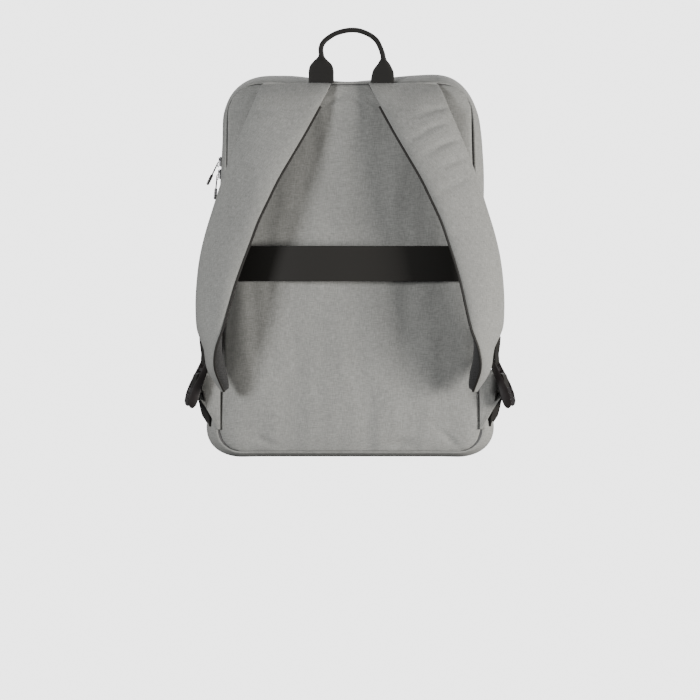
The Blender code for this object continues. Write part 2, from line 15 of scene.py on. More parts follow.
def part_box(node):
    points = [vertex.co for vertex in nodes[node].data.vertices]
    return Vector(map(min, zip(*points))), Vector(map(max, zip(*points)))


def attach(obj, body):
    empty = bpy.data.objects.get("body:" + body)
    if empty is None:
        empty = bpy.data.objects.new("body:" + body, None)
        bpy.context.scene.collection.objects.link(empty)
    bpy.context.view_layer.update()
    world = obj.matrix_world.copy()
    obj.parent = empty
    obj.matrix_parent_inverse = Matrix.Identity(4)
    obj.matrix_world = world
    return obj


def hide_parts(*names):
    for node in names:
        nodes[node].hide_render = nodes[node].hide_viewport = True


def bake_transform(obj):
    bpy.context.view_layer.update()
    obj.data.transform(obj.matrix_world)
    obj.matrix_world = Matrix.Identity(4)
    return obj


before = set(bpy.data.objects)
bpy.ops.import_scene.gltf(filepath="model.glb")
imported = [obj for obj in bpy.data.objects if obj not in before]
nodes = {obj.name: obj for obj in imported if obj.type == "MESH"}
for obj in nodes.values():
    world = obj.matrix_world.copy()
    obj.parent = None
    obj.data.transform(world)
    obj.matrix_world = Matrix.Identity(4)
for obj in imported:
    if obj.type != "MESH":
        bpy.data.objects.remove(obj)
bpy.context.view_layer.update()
MM = 0.001
print("CAD nodes:", len(nodes))

# %% [markdown]
# The camera stands level, far away and behind a long lens, which keeps the bag's edges parallel.
# It is set up first, because everything after it is judged through it.

# %% Camera
VIEW_WIDTH = 0.826
LENS = 200.0
SENSOR = 36.0
VIEW_Z = 0.127
VIEW_PLANE = -0.090
camera_data = bpy.data.cameras.new("view")
camera_data.lens = LENS
camera_data.sensor_width = SENSOR
camera_data.clip_end = 50.0
camera = bpy.data.objects.new("view", camera_data)
bpy.context.scene.collection.objects.link(camera)
camera.location = (0.0, VIEW_PLANE - VIEW_WIDTH * LENS / SENSOR, VIEW_Z)
camera.rotation_euler = (math.pi / 2, 0.0, 0.0)
bpy.context.scene.camera = camera
print("camera at", tuple(round(c, 3) for c in camera.location))

# %% [markdown]
# A white backdrop and three soft lamps make a product studio. There is no floor, because the lid
# swings down below the bottom of the bag. The lamp on the right stands low and nearly beside the bag:
# it lights the outer side of that strap more than the back panel. The lamp on the left stands further
# round, and throws each strap's soft shadow on the panel.

# %% Studio
def soft_lamp(name, place, target, size, power, colour=(1.0, 1.0, 1.0)):
    """A square area lamp that points at a target."""
    data = bpy.data.lights.new(name, "AREA")
    data.size = size
    data.energy = power
    data.color = colour
    lamp = bpy.data.objects.new(name, data)
    bpy.context.scene.collection.objects.link(lamp)
    lamp.location = place
    lamp.rotation_euler = (Vector(target) - Vector(place)).to_track_quat("-Z", "Y").to_euler()


AIM = (0.0, 0.0, 0.24)
soft_lamp("side_right", (1.45, -0.78, 0.10), (0.1, -0.05, 0.16), 0.5, 52.0, (1.0, 0.97, 0.93))
soft_lamp("key_left", (-1.60, -1.7, 0.45), (0.0, 0.0, 0.15), 0.5, 55.0)
soft_lamp("top_back", (0.3, 1.6, 2.1), AIM, 1.6, 70.0)
WORLD_LIGHT = 0.15
BACKDROP = 3.4
world = bpy.context.scene.world or bpy.data.worlds.new("studio")
bpy.context.scene.world = world
world.use_nodes = True
sky = world.node_tree.nodes["Background"]
sky.inputs["Color"].default_value = (0.93, 0.94, 0.96, 1.0)
sky.inputs["Strength"].default_value = WORLD_LIGHT
paper = world.node_tree.nodes.new("ShaderNodeBackground")
paper.inputs["Color"].default_value = (1.0, 1.0, 1.0, 1.0)
paper.inputs["Strength"].default_value = BACKDROP
seen = world.node_tree.nodes.new("ShaderNodeLightPath")
either = world.node_tree.nodes.new("ShaderNodeMixShader")
world.node_tree.links.new(seen.outputs["Is Camera Ray"], either.inputs["Fac"])
world.node_tree.links.new(sky.outputs["Background"], either.inputs[1])
world.node_tree.links.new(paper.outputs["Background"], either.inputs[2])
world.node_tree.links.new(either.outputs["Shader"], world.node_tree.nodes["World Output"].inputs["Surface"])
print("studio lamps: 3")

# %% [markdown]
# ## Finishes
# Every finish is built from a few procedural nodes. Cloth needs three scales at once: the weave,
# the streaks of dyed and undyed fibre that make it a heather, and a slow change over the whole bag.
# Pieces that are cut from a strip carry a UV map in metres, so their threads follow the strip.

# %% Node helpers


class Finish:
    """A Principled material and short ways to add nodes to it."""

    def __init__(self, name, colour, roughness, metallic=0.0, **constants):
        self.material = bpy.data.materials.new(name)
        self.material.use_nodes = True
        self.tree = self.material.node_tree
        self.shader = self.tree.nodes["Principled BSDF"]
        self.set("Base Color", (*colour, 1.0))
        self.set("Roughness", roughness)
        self.set("Metallic", metallic)
        for socket, value in constants.items():
            self.set(socket.replace("_", " "), value)

    def set(self, socket, value):
        self.shader.inputs[socket].default_value = value

    def add(self, kind, **settings):
        node = self.tree.nodes.new(kind)
        for name, value in settings.items():
            setattr(node, name, value)
        return node

    def link(self, source, target):
        self.tree.links.new(source, target)

    def place(self, source, scale):
        """Coordinates in metres times a scale on each axis: source is Object or UV."""
        coordinates = self.add("ShaderNodeTexCoord")
        mapping = self.add("ShaderNodeMapping")
        mapping.inputs["Scale"].default_value = scale
        self.link(coordinates.outputs[source], mapping.inputs["Vector"])
        return mapping.outputs["Vector"]

    def noise(self, source, scale, detail=2.0):
        texture = self.add("ShaderNodeTexNoise")
        texture.inputs["Scale"].default_value = 1.0
        texture.inputs["Detail"].default_value = detail
        self.link(self.place(source, scale), texture.inputs["Vector"])
        return texture.outputs["Fac"]

    def wave(self, source, scale, direction, distortion=0.0):
        """Ridges one metre apart, divided by the scale."""
        texture = self.add("ShaderNodeTexWave", bands_direction=direction)
        texture.inputs["Scale"].default_value = 1.0 / 20.0 * 2.0 * math.pi
        texture.inputs["Distortion"].default_value = distortion
        self.link(self.place(source, scale), texture.inputs["Vector"])
        return texture.outputs["Fac"]

    def math(self, operation, first, second):
        node = self.add("ShaderNodeMath", operation=operation)
        for socket, value in zip(node.inputs, (first, second)):
            if isinstance(value, (int, float)):
                socket.default_value = value
            else:
                self.link(value, socket)
        return node.outputs[0]

    def ramp(self, value, *stops):
        node = self.add("ShaderNodeValToRGB")
        elements = node.color_ramp.elements
        while len(elements) < len(stops):
            elements.new(0.5)
        for element, (position, colour) in zip(elements, stops):
            element.position = position
            element.color = (*colour, 1.0)
        self.link(value, node.inputs["Fac"])
        return node.outputs["Color"]

    def tint(self, colour, amount, other, blend="MULTIPLY"):
        node = self.add("ShaderNodeMix", data_type="RGBA", blend_type=blend)
        node.inputs["Factor"].default_value = amount
        self.link(colour, node.inputs["A"])
        self.link(other, node.inputs["B"])
        return node.outputs["Result"]

    def colour(self, source):
        self.link(source, self.shader.inputs["Base Color"])

    def rough(self, value, low, high):
        node = self.add("ShaderNodeMapRange")
        node.inputs["To Min"].default_value = low
        node.inputs["To Max"].default_value = high
        self.link(value, node.inputs["Value"])
        self.link(node.outputs["Result"], self.shader.inputs["Roughness"])

    def bump(self, *layers):
        """Layers of (height, strength, depth in metres), each on top of the last."""
        normal = None
        for height, strength, depth in layers:
            node = self.add("ShaderNodeBump")
            node.inputs["Strength"].default_value = strength
            node.inputs["Distance"].default_value = depth
            self.link(height, node.inputs["Height"])
            if normal is not None:
                self.link(normal, node.inputs["Normal"])
            normal = node.outputs["Normal"]
        self.link(normal, self.shader.inputs["Normal"])


def grey(level, warm=0.0):
    """A near-neutral colour, a little warm or cool."""
    return (level * (1.0 + warm), level, level * (1.0 - 1.6 * warm))


def heather(level):
    """The cloth's own grey, which leans to green."""
    return (level * 0.992, level, level * 0.952)


# %% [markdown]
# The heather cloth is a plain weave of melange yarn. Long thin noise stands for the yarns, once
# along the cloth and once across it, and a pair of fine waves gives the over-and-under of the weave.

# %% Heather cloth
THREADS = 2100.0
STREAK = 0.08


def heather_cloth(name, source, level=0.215):
    """Melange polyester: source UV follows a cut strip, and Object serves a shaped panel."""
    finish = Finish(name, heather(level), 0.86, Sheen_Weight=0.06, Sheen_Roughness=0.5)
    if source == "UV":
        warp = finish.noise("UV", (THREADS, THREADS * STREAK, 1.0), 1.0)
        weft = finish.noise("UV", (THREADS * STREAK, THREADS, 1.0), 1.0)
        over = finish.wave("UV", (THREADS, THREADS, 1.0), "X")
        under = finish.wave("UV", (THREADS, THREADS, 1.0), "Y")
    else:
        warp = finish.noise("Object", (THREADS, THREADS, THREADS * STREAK), 1.0)
        weft = finish.noise("Object", (THREADS * STREAK, THREADS * STREAK, THREADS), 1.0)
        over = finish.wave("Object", (THREADS, THREADS, THREADS), "DIAGONAL")
        under = finish.wave("Object", (THREADS, THREADS, THREADS), "Z")
    yarn = finish.math("ADD", finish.math("MULTIPLY", warp, 0.5), finish.math("MULTIPLY", weft, 0.5))
    base = finish.ramp(yarn, (0.36, heather(level * 0.76)), (0.50, heather(level)),
                       (0.64, heather(level * 1.26)))
    slow = finish.ramp(finish.noise("Object", (16.0, 16.0, 9.0), 3.0), (0.3, grey(0.93)), (0.7, grey(1.05)))
    finish.colour(finish.tint(base, 1.0, slow))
    weave = finish.math("MULTIPLY", over, under)
    finish.bump((weave, 0.35, 0.00022), (yarn, 0.35, 0.0003))
    finish.rough(yarn, 0.78, 0.95)
    return finish.material


CLOTH = heather_cloth("heather_cloth", "Object")
CLOTH_STRIP = heather_cloth("heather_cloth_strip", "UV")
print("heather cloth:", CLOTH.name, CLOTH_STRIP.name)

# %% [markdown]
# Webbing is woven much more coarsely, with ribs across its length and two smooth edges. The strap
# lining is an open air mesh, and the inside of the bag is a plain nylon with a fine ripstop grid.

# %% Webbing, mesh and lining


def webbing_cloth(name, level, source="UV", pitch=1.0 * MM):
    """Ribbed nylon webbing, whose ribs run across a strip that is longest in v."""
    finish = Finish(name, grey(level, 0.10), 0.62, Sheen_Weight=0.03,
                    Specular_IOR_Level=0.3)
    count = 1.0 / pitch
    ribs = finish.wave(source, (count, count, count), "Y" if source == "UV" else "Z", 0.6)
    grain = finish.noise(source, (count * 2.0, count * 2.0, count * 2.0), 2.0)
    mixed = finish.math("ADD", finish.math("MULTIPLY", ribs, 0.6), finish.math("MULTIPLY", grain, 0.4))
    finish.colour(finish.ramp(mixed, (0.2, grey(level * 0.8, 0.12)), (0.8, grey(level * 1.25, 0.10))))
    finish.bump((ribs, 0.3, 0.00020), (grain, 0.2, 0.00010))
    finish.rough(grain, 0.52, 0.78)
    return finish.material


def air_mesh(name, level):
    """Open knitted mesh: small round holes in a hexagonal order."""
    finish = Finish(name, grey(level), 0.85, Sheen_Weight=0.15)
    cells = finish.add("ShaderNodeTexVoronoi", feature="F1")
    cells.inputs["Scale"].default_value = 1.0
    cells.inputs["Randomness"].default_value = 0.25
    finish.link(finish.place("UV", (520.0, 520.0, 1.0)), cells.inputs["Vector"])
    distance = cells.outputs["Distance"]
    finish.colour(finish.ramp(distance, (0.18, grey(level * 2.4)), (0.42, grey(level * 1.4)),
                              (0.60, grey(level * 0.35))))
    finish.bump((distance, 0.9, -0.0006))
    return finish.material


def ripstop(name, level):
    """Plain nylon with a raised thread every few millimetres each way."""
    finish = Finish(name, grey(level), 0.55, Sheen_Weight=0.1)
    warp = finish.wave("Object", (250.0, 250.0, 250.0), "X")
    weft = finish.wave("Object", (250.0, 250.0, 250.0), "Z")
    lines = finish.math("POWER", finish.math("MAXIMUM", warp, weft), 12.0)
    slow = finish.noise("Object", (60.0, 60.0, 60.0), 4.0)
    mixed = finish.math("ADD", finish.math("MULTIPLY", lines, 0.3), finish.math("MULTIPLY", slow, 0.7))
    finish.colour(finish.ramp(mixed, (0.2, grey(level * 0.7)), (0.9, grey(level * 1.7))))
    finish.bump((lines, 0.3, 0.0002), (slow, 0.4, 0.0015))
    return finish.material


WEBBING = webbing_cloth("black_webbing", 0.0080)
HANDLE_WEB = webbing_cloth("handle_webbing", 0.0042)
TAPE = webbing_cloth("zip_tape", 0.010, "Object", 0.9 * MM)
BRAID = webbing_cloth("braided_cord", 0.006, "Object", 1.1 * MM)
MESH = air_mesh("air_mesh", 0.014)
LINING = ripstop("ripstop_lining", 0.045)
print("webbing, tape, braid, mesh and lining are ready")

# %% [markdown]
# Hard pieces come out of a mould or a plating bath. Acetal buckles are dark and softly glossy with
# faint flow marks, and the zip sliders are plated dark with fine scratches.

# %% Moulded plastic and plated metal


def hard(name, colour, low, high, metallic=0.0, grain=900.0, depth=0.00006, **constants):
    """A hard surface whose gloss and height vary a little."""
    finish = Finish(name, colour, low, metallic, **constants)
    fine = finish.noise("Object", (grain, grain, grain * 0.3), 3.0)
    slow = finish.noise("Object", (70.0, 70.0, 70.0), 2.0)
    finish.rough(slow, low, high)
    finish.bump((fine, 0.25, depth))
    lighter = tuple(min(1.0, part * 1.5 + 0.004) for part in colour)
    finish.colour(finish.ramp(slow, (0.35, colour), (0.75, lighter)))
    return finish.material


ACETAL = hard("moulded_acetal", (0.009, 0.007, 0.007), 0.22, 0.34, Specular_IOR_Level=0.6)
PLATED = hard("plated_zinc", (0.045, 0.045, 0.048), 0.34, 0.52, 1.0, 1500.0)
BOARD = hard("polyethylene_board", (0.05, 0.05, 0.052), 0.45, 0.6)
print("hard finishes:", ACETAL.name, PLATED.name)

# %% [markdown]
# ## Ways to model
# A cut strip of cloth is a grid primitive whose corners are carried to their places on the bag.
# The grid keeps its UV map, scaled to metres, so the weave on it has its true size.

# %% Modelling helpers


def only(piece):
    """Select one object alone and make it active."""
    bpy.ops.object.select_all(action="DESELECT")
    piece.select_set(True)
    bpy.context.view_layer.objects.active = piece


def modified(piece, kind, **settings):
    """Add a modifier, set it, and apply it."""
    modifier = piece.modifiers.new(kind.lower(), kind)
    for name, value in settings.items():
        setattr(modifier, name, value)
    only(piece)
    bpy.ops.object.modifier_apply(modifier=modifier.name)
    return piece


def rounded(piece, levels=1):
    return modified(piece, "SUBSURF", levels=levels, render_levels=levels)


def edit(piece, *steps):
    """Run mesh operators on the whole of a piece, in edit mode."""
    only(piece)
    bpy.ops.object.mode_set(mode="EDIT")
    bpy.ops.mesh.select_all(action="SELECT")
    for step in steps:
        step()
    bpy.ops.object.mode_set(mode="OBJECT")
    return piece


def weld(piece):
    return edit(piece, lambda: bpy.ops.mesh.remove_doubles(threshold=0.00001),
                lambda: bpy.ops.mesh.normals_make_consistent(inside=False))


def strip(name, columns, rows, place, size, flip=False):
    """A cloth strip: place(u, v) carries each corner of a grid, and size is its cut size in metres."""
    bpy.ops.object.select_all(action="DESELECT")
    bpy.ops.mesh.primitive_grid_add(x_subdivisions=columns, y_subdivisions=rows, size=1.0)
    piece = bpy.context.object
    piece.name = name
    for corner in piece.data.vertices:
        corner.co = place(corner.co.x + 0.5, corner.co.y + 0.5)
    for loop in piece.data.uv_layers[0].data:
        loop.uv = (loop.uv.x * size[0], loop.uv.y * size[1])
    if flip:
        edit(piece, bpy.ops.mesh.flip_normals)
    return piece


def tube(name, points, radius, sides=8):
    """A round tube along points with closed ends; the radius is one number or one for each point."""
    points = [Vector(point) for point in points]
    radii = radius if isinstance(radius, (list, tuple)) else [radius] * len(points)
    frames = []
    for index, point in enumerate(points):
        ahead = points[min(len(points) - 1, index + 1)] - points[max(0, index - 1)]
        frames.append((point, ahead.normalized()))
    side = frames[0][1].orthogonal().normalized()
    rings = []
    for point, ahead in frames:
        side = (side - ahead * side.dot(ahead)).normalized()
        rings.append((point, side, ahead.cross(side)))
    last = len(points) - 1

    def place(u, v):
        index = round(v * last)
        point, first, second = rings[index]
        angle = 2 * math.pi * u
        return point + (first * math.cos(angle) + second * math.sin(angle)) * radii[index]
    length = sum((b - a).length for a, b in zip(points, points[1:]))
    piece = strip(name, sides, last, place, (2 * math.pi * max(radii), length))
    return capped(piece)


def capped(piece):
    """Join the long sides of a rolled strip and close its two ends."""
    only(piece)
    bpy.ops.object.mode_set(mode="EDIT")
    bpy.ops.mesh.select_all(action="SELECT")
    bpy.ops.mesh.remove_doubles(threshold=0.000005)
    bpy.ops.mesh.select_all(action="DESELECT")
    bpy.ops.mesh.select_non_manifold()
    bpy.ops.mesh.fill_holes(sides=0)
    bpy.ops.mesh.select_all(action="SELECT")
    bpy.ops.mesh.normals_make_consistent(inside=False)
    bpy.ops.object.mode_set(mode="OBJECT")
    return piece


def slab(name, points, thickness, matrix, bevel=0.0, hole=()):
    """A flat outline in x and z, perhaps with a hole, given a thickness along y and placed by a matrix."""
    curve = bpy.data.curves.new(name, "CURVE")
    curve.dimensions = "2D"
    curve.fill_mode = "BOTH"
    curve.extrude = thickness / 2
    for outline in filter(None, (points, hole)):
        spline = curve.splines.new("POLY")
        spline.points.add(len(outline) - 1)
        for point, (x, z) in zip(spline.points, outline):
            point.co = (x, z, 0.0, 1.0)
        spline.use_cyclic_u = True
    piece = bpy.data.objects.new(name, curve)
    bpy.context.scene.collection.objects.link(piece)
    only(piece)
    bpy.ops.object.convert(target="MESH")
    piece = bpy.context.object
    piece.data.transform(matrix @ Matrix.Rotation(math.pi / 2, 4, "X"))
    weld(piece)
    if bevel:
        modified(piece, "BEVEL", width=bevel, segments=2, limit_method="ANGLE",
                 angle_limit=math.radians(40.0))
    return piece


def brick(name, size, centre, bevel=0.0, segments=2):
    """A block with eased edges."""
    bpy.ops.object.select_all(action="DESELECT")
    bpy.ops.mesh.primitive_cube_add(size=1.0, location=(0.0, 0.0, 0.0))
    piece = bpy.context.object
    piece.name = name
    piece.data.transform(Matrix.Translation(centre) @ Matrix.Diagonal((*size, 1.0)))
    if bevel:
        modified(piece, "BEVEL", width=bevel, segments=segments)
    return piece


def repeated(name, template, matrices):
    """Copies of a template's mesh, one for each matrix, as one object; the template is removed."""
    work = bmesh.new()
    for matrix in matrices:
        start = len(work.verts)
        work.from_mesh(template.data)
        work.verts.ensure_lookup_table()
        bmesh.ops.transform(work, matrix=matrix, verts=work.verts[start:])
    mesh = bpy.data.meshes.new(name)
    work.to_mesh(mesh)
    work.free()
    piece = bpy.data.objects.new(name, mesh)
    bpy.context.scene.collection.objects.link(piece)
    bpy.data.objects.remove(template, do_unlink=True)
    return piece


def frame_matrix(place, along, out):
    """A frame at a place: x runs along, z points out."""
    along = Vector(along).normalized()
    out = (Vector(out) - along * along.dot(Vector(out))).normalized()
    across = out.cross(along)
    turn = Matrix((along, across, out)).transposed().to_4x4()
    return Matrix.Translation(place) @ turn


def stitches(name, rows, pitch=3.2 * MM, length=2.4 * MM, radius=0.32 * MM):
    """Rows of thread stitches: each row is a list of (place, outward direction)."""
    matrices = []
    for row in rows:
        reach = pitch / 2
        for (start, out), (end, _) in zip(row, row[1:]):
            step = end - start
            while reach < step.length:
                matrices.append(frame_matrix(start + step * (reach / step.length), step, out))
                reach += pitch
            reach -= step.length
    bpy.ops.object.select_all(action="DESELECT")
    bpy.ops.mesh.primitive_uv_sphere_add(segments=6, ring_count=4, radius=1.0)
    template = bpy.context.object
    template.data.transform(Matrix.Diagonal((length / 2, radius, radius * 0.8, 1.0)))
    return repeated(name, template, matrices)


def mirrored(piece, side):
    """Turn a right-hand piece into a left-hand one where side is negative."""
    if side < 0:
        piece.data.transform(Matrix.Scale(-1.0, 4, (1.0, 0.0, 0.0)))
        edit(piece, bpy.ops.mesh.flip_normals)
    return piece


def thick(piece, thickness, offset=-1.0):
    return modified(piece, "SOLIDIFY", thickness=thickness, offset=offset, use_even_offset=False)


def joined(name, pieces):
    """One object out of several."""
    only(pieces[0])
    for piece in pieces[1:]:
        piece.select_set(True)
    bpy.ops.object.join()
    bpy.context.object.name = name
    return bpy.context.object


def dressed(piece, material, smooth=True):
    """Give a finished piece its material and shade it smooth by angle."""
    if not piece.data.polygons:
        raise ValueError(f"{piece.name} has no faces")
    piece.data.materials.clear()
    piece.data.materials.append(material)
    only(piece)
    if smooth:
        bpy.ops.object.shade_smooth_by_angle(angle=math.radians(38.0))
    return piece


def lined(piece, inward):
    """Give the faces that inward(centre, normal) picks the lining's finish."""
    piece.data.materials.append(LINING)
    for face in piece.data.polygons:
        if inward(face.center, face.normal):
            face.material_index = 1


def settle(piece, material, slot, body, *replaced):
    """Dress a piece, let it ride on a body, and hide the CAD nodes that it stands for."""
    dressed(piece, material)
    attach(piece, body)
    if replaced:
        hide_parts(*replaced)
    print(f"{piece.name}: {len(piece.data.polygons)} faces on {body}")
    return piece


def flowing(rows, reach):
    """Values on a smooth curve through rows of numbers, for a reach from 0 to 1."""
    spot = min(max(reach, 0.0), 1.0) * (len(rows) - 1)
    index = min(int(spot), len(rows) - 2)
    f = spot - index
    near = (rows[max(0, index - 1)], rows[index], rows[index + 1], rows[min(len(rows) - 1, index + 2)])
    return [0.5 * (2 * b + (c - a) * f + (2 * a - 5 * b + 4 * c - d) * f * f
                   + (3 * b - a - 3 * c + d) * f ** 3)
            for a, b, c, d in zip(*near)]


def hump(value, middle, width):
    """A smooth bump of height 1 at the middle."""
    return math.exp(-((value - middle) / width) ** 2)


def crumple(place, frequency, seed=0.0):
    """Smooth noise from -1 to 1, the same on each run."""
    return noise.noise(Vector(place) * frequency + Vector((seed, seed * 1.7, -seed)))


print("helpers are ready")

# %% [markdown]
# ## The bag's form
# A sewn bag keeps its outline at its seams and swells between them. The same rounded outline runs
# round the bag at every depth: narrow at the back seam, full in the middle, narrow at the front seam.

# %% Form of the bag
lower_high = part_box("rear_bottom_panel")[1]
upper_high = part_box("rear_top_panel")[1]
back_low, back_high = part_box("back_panel")
front_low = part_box("front_bottom_panel")[0]
LOWER_RADIUS = 0.042
UPPER_RADIUS = 0.055
SEAM_INSET = 0.0045
HEIGHT = upper_high.z
Y_ZIP = (lower_high.y + front_low.y) / 2
Y_BACK = back_low.y
Y_FRONT = 0.080
Y_REAR_ROUND = -0.045
Y_FRONT_ROUND = 0.055
TAPER = 0.42
FULL = (lower_high.x, 0.1515, 0.0, HEIGHT, LOWER_RADIUS, UPPER_RADIUS)
BACK_SEAM = (back_high.x + SEAM_INSET, 0.145, back_low.z - SEAM_INSET, back_high.z + SEAM_INSET,
             0.025, 0.036)
FRONT_SEAM = (0.154, 0.140, 0.012, 0.438, 0.030, 0.044)


def outline_point(t, sizes):
    """Point of a rounded outline: 0 bottom centre, 1-2 lower corner, 3-4 upper corner, 5 top centre."""
    side = 1.0 if t <= 5.0 else -1.0
    t = t if t <= 5.0 else 10.0 - t
    half_low, half_high, low, high, r_low, r_high = sizes
    if t < 1.0:
        return side * t * (half_low - r_low), low
    if t < 2.0:
        angle = (t - 2.0) * math.pi / 2
        return side * (half_low - r_low + r_low * math.cos(angle)), low + r_low + r_low * math.sin(angle)
    if t < 3.0:
        f = t - 2.0
        return (side * (half_low + (half_high - half_low) * f),
                low + r_low + (high - r_high - low - r_low) * f)
    if t < 4.0:
        angle = (t - 3.0) * math.pi / 2
        return (side * (half_high - r_high + r_high * math.cos(angle)),
                high - r_high + r_high * math.sin(angle))
    return side * (half_high - r_high) * (5.0 - t), high


def around(u):
    """Outline parameter after a share u of the way round, so that points are evenly spaced."""
    side = HEIGHT - LOWER_RADIUS - UPPER_RADIUS
    half = [FULL[0] - LOWER_RADIUS, LOWER_RADIUS * math.pi / 2, side, UPPER_RADIUS * math.pi / 2,
            FULL[1] - UPPER_RADIUS]
    reach = u * 2.0 * sum(half)
    for index, length in enumerate(half + half[::-1]):
        if reach <= length:
            return index + reach / length
        reach -= length
    return 10.0


def sizes_at(y, grow=0.0):
    """The outline's sizes at depth y, moved out by grow."""
    if y < Y_REAR_ROUND:
        reach, seam = (Y_REAR_ROUND - y) / (Y_REAR_ROUND - Y_BACK), BACK_SEAM
    else:
        reach, seam = max(0.0, (y - Y_FRONT_ROUND) / (Y_FRONT - Y_FRONT_ROUND)), FRONT_SEAM
    blend = 1.0 - math.sqrt(max(0.0, 1.0 - min(1.0, reach) ** 2))
    signs = (1, 1, -1, 1, 1, 1)
    return [wide + (narrow - wide) * blend + sign * grow for wide, narrow, sign in zip(FULL, seam, signs)]


TOP_CROWN = 0.0046
LOW_CORNER = 0.0050
HANDLE_DIP = 1.7


def fullness(x, y, z):
    """How far the cloth stands out of the plain form: the load bulges it and the seams hold it."""
    hold = min(1.0, max(0.0, (y - Y_BACK) / 0.018)) * min(1.0, max(0.0, (Y_FRONT - y) / 0.018))
    loose = 1.0 - hump(y, Y_ZIP, 0.016)
    right = 0.0050 * hump(z, 0.345, 0.075) if x > 0 else -0.0004 * hump(z, 0.34, 0.06)
    dents = 0.0016 * crumple((x, y * 1.4, z), 17.0, 3.1) + 0.0007 * crumple((x, y * 2.0, z), 46.0, 8.3)
    dents += 0.0011 * crumple((x * 0.3, y * 0.4, z), 30.0, 5.0) * hump(z, 0.09, 0.07)
    base = min(1.0, max(0.0, z / 0.02))
    crown = TOP_CROWN * min(1.0, max(0.0, (z - 0.415) / 0.03)) * (1.0 - HANDLE_DIP * hump(x, 0.003, 0.055))
    corner = LOW_CORNER * hump(abs(x), 0.160, 0.026) * hump(z, 0.020, 0.024)
    return (right + crown + dents * (0.35 + 0.65 * loose) * base) * hold + corner * min(1.0, 0.4 + hold)


def skin(t, y, grow=0.0, soft=1.0):
    """Point of the bag's cloth at outline parameter t and depth y."""
    sizes = sizes_at(y, grow)
    x, z = outline_point(t, sizes)
    before, after = outline_point(max(0.0, t - 0.02), sizes), outline_point(min(10.0, t + 0.02), sizes)
    tangent = Vector((after[0] - before[0], after[1] - before[1])).normalized()
    out = fullness(x, y, z) * soft
    x, z = x + tangent.y * out, z - tangent.x * out
    if y > Y_ZIP:
        y = Y_ZIP + (y - Y_ZIP) * (1.0 - TAPER * z / HEIGHT)
    return Vector((x, y, z))


print("outline", round(FULL[0] * 2, 3), "by", round(HEIGHT, 3))

# %% [markdown]
# The gusset is the cloth wall that joins back and front. Each half runs all round the bag as one
# closed strip. Its last row turns into the seam, which leaves the shadow line beside the panel.

# %% Gussets
ROUND_COLUMNS = 168
CLOTH_THICKNESS = 0.0016
ROUND_LENGTH = 1.49


SEAM_ALLOWANCE = 0.0040


def gusset(name, depths, seam, seam_y):
    """One half of the wall: depths from its seam to its zip, and the seam that it turns into."""
    turned_in = [size - SEAM_ALLOWANCE * sign for size, sign in zip(seam, (1, 1, -1, 1, 1, 1))]

    def place(u, v):
        t = around(u)
        row = v * len(depths)
        if row < 0.5:
            x, z = outline_point(t, turned_in)
            if seam_y > Y_ZIP:
                return Vector((x, Y_ZIP + (seam_y - Y_ZIP) * (1.0 - TAPER * z / HEIGHT), z))
            return Vector((x, seam_y, z))
        return skin(t, depths[min(len(depths) - 1, round(row) - 1)])
    piece = strip(name, ROUND_COLUMNS, len(depths), place, (ROUND_LENGTH, 0.09), flip=seam_y < Y_ZIP)
    weld(piece)
    thick(piece, CLOTH_THICKNESS)
    return rounded(piece)


rear_depths = (-0.0746, -0.0732, -0.0705, -0.066, -0.060, -0.053, -0.045, -0.037, -0.029, -0.021, -0.013,
               -0.006, 0.000, Y_ZIP - 0.0078)
front_depths = (Y_FRONT - 0.0006, 0.0785, 0.0762, 0.0725, 0.067, 0.061, 0.055, 0.048, 0.041, 0.034, 0.027,
                0.022, Y_ZIP + 0.0078)
rear_gusset = gusset("rear_gusset", rear_depths, BACK_SEAM, Y_BACK + 0.0042)
settle(rear_gusset, CLOTH, "grey_cloth", "bag", "rear_bottom_panel", "rear_top_panel",
       "rear_side_panel_left", "rear_side_panel_right")
front_gusset = gusset("front_gusset", front_depths, FRONT_SEAM, Y_FRONT - 0.0042)
settle(front_gusset, CLOTH, "grey_cloth", "lid", "front_bottom_panel", "front_top_panel",
       "front_side_panel_left", "front_side_panel_right")

# %% [markdown]
# The back panel is cloth over foam. A slab cut to the seam's outline is remeshed into small even
# faces and blown up a little by the cloth solver, which gives the crown and the pull at its edges.
# A cap on the movement keeps it against the seam. Slow folds from noise finish it.

# %% Padded panels
VOXEL = 0.005
PRESSURE = 4.0


def outline_slab(name, sizes, thickness, matrix):
    """A slab of a rounded outline."""
    return slab(name, [outline_point(around(step / 90), sizes) for step in range(90)], thickness, matrix)


def regrown(piece, rest):
    """Stretch a blown pad in x and z back to the size at which its seam holds it."""
    for axis in (0, 2):
        before = [spot[axis] for spot in rest]
        after = [corner.co[axis] for corner in piece.data.vertices]
        scale = (max(before) - min(before)) / (max(after) - min(after))
        for corner in piece.data.vertices:
            corner.co[axis] = min(before) + (corner.co[axis] - min(after)) * scale


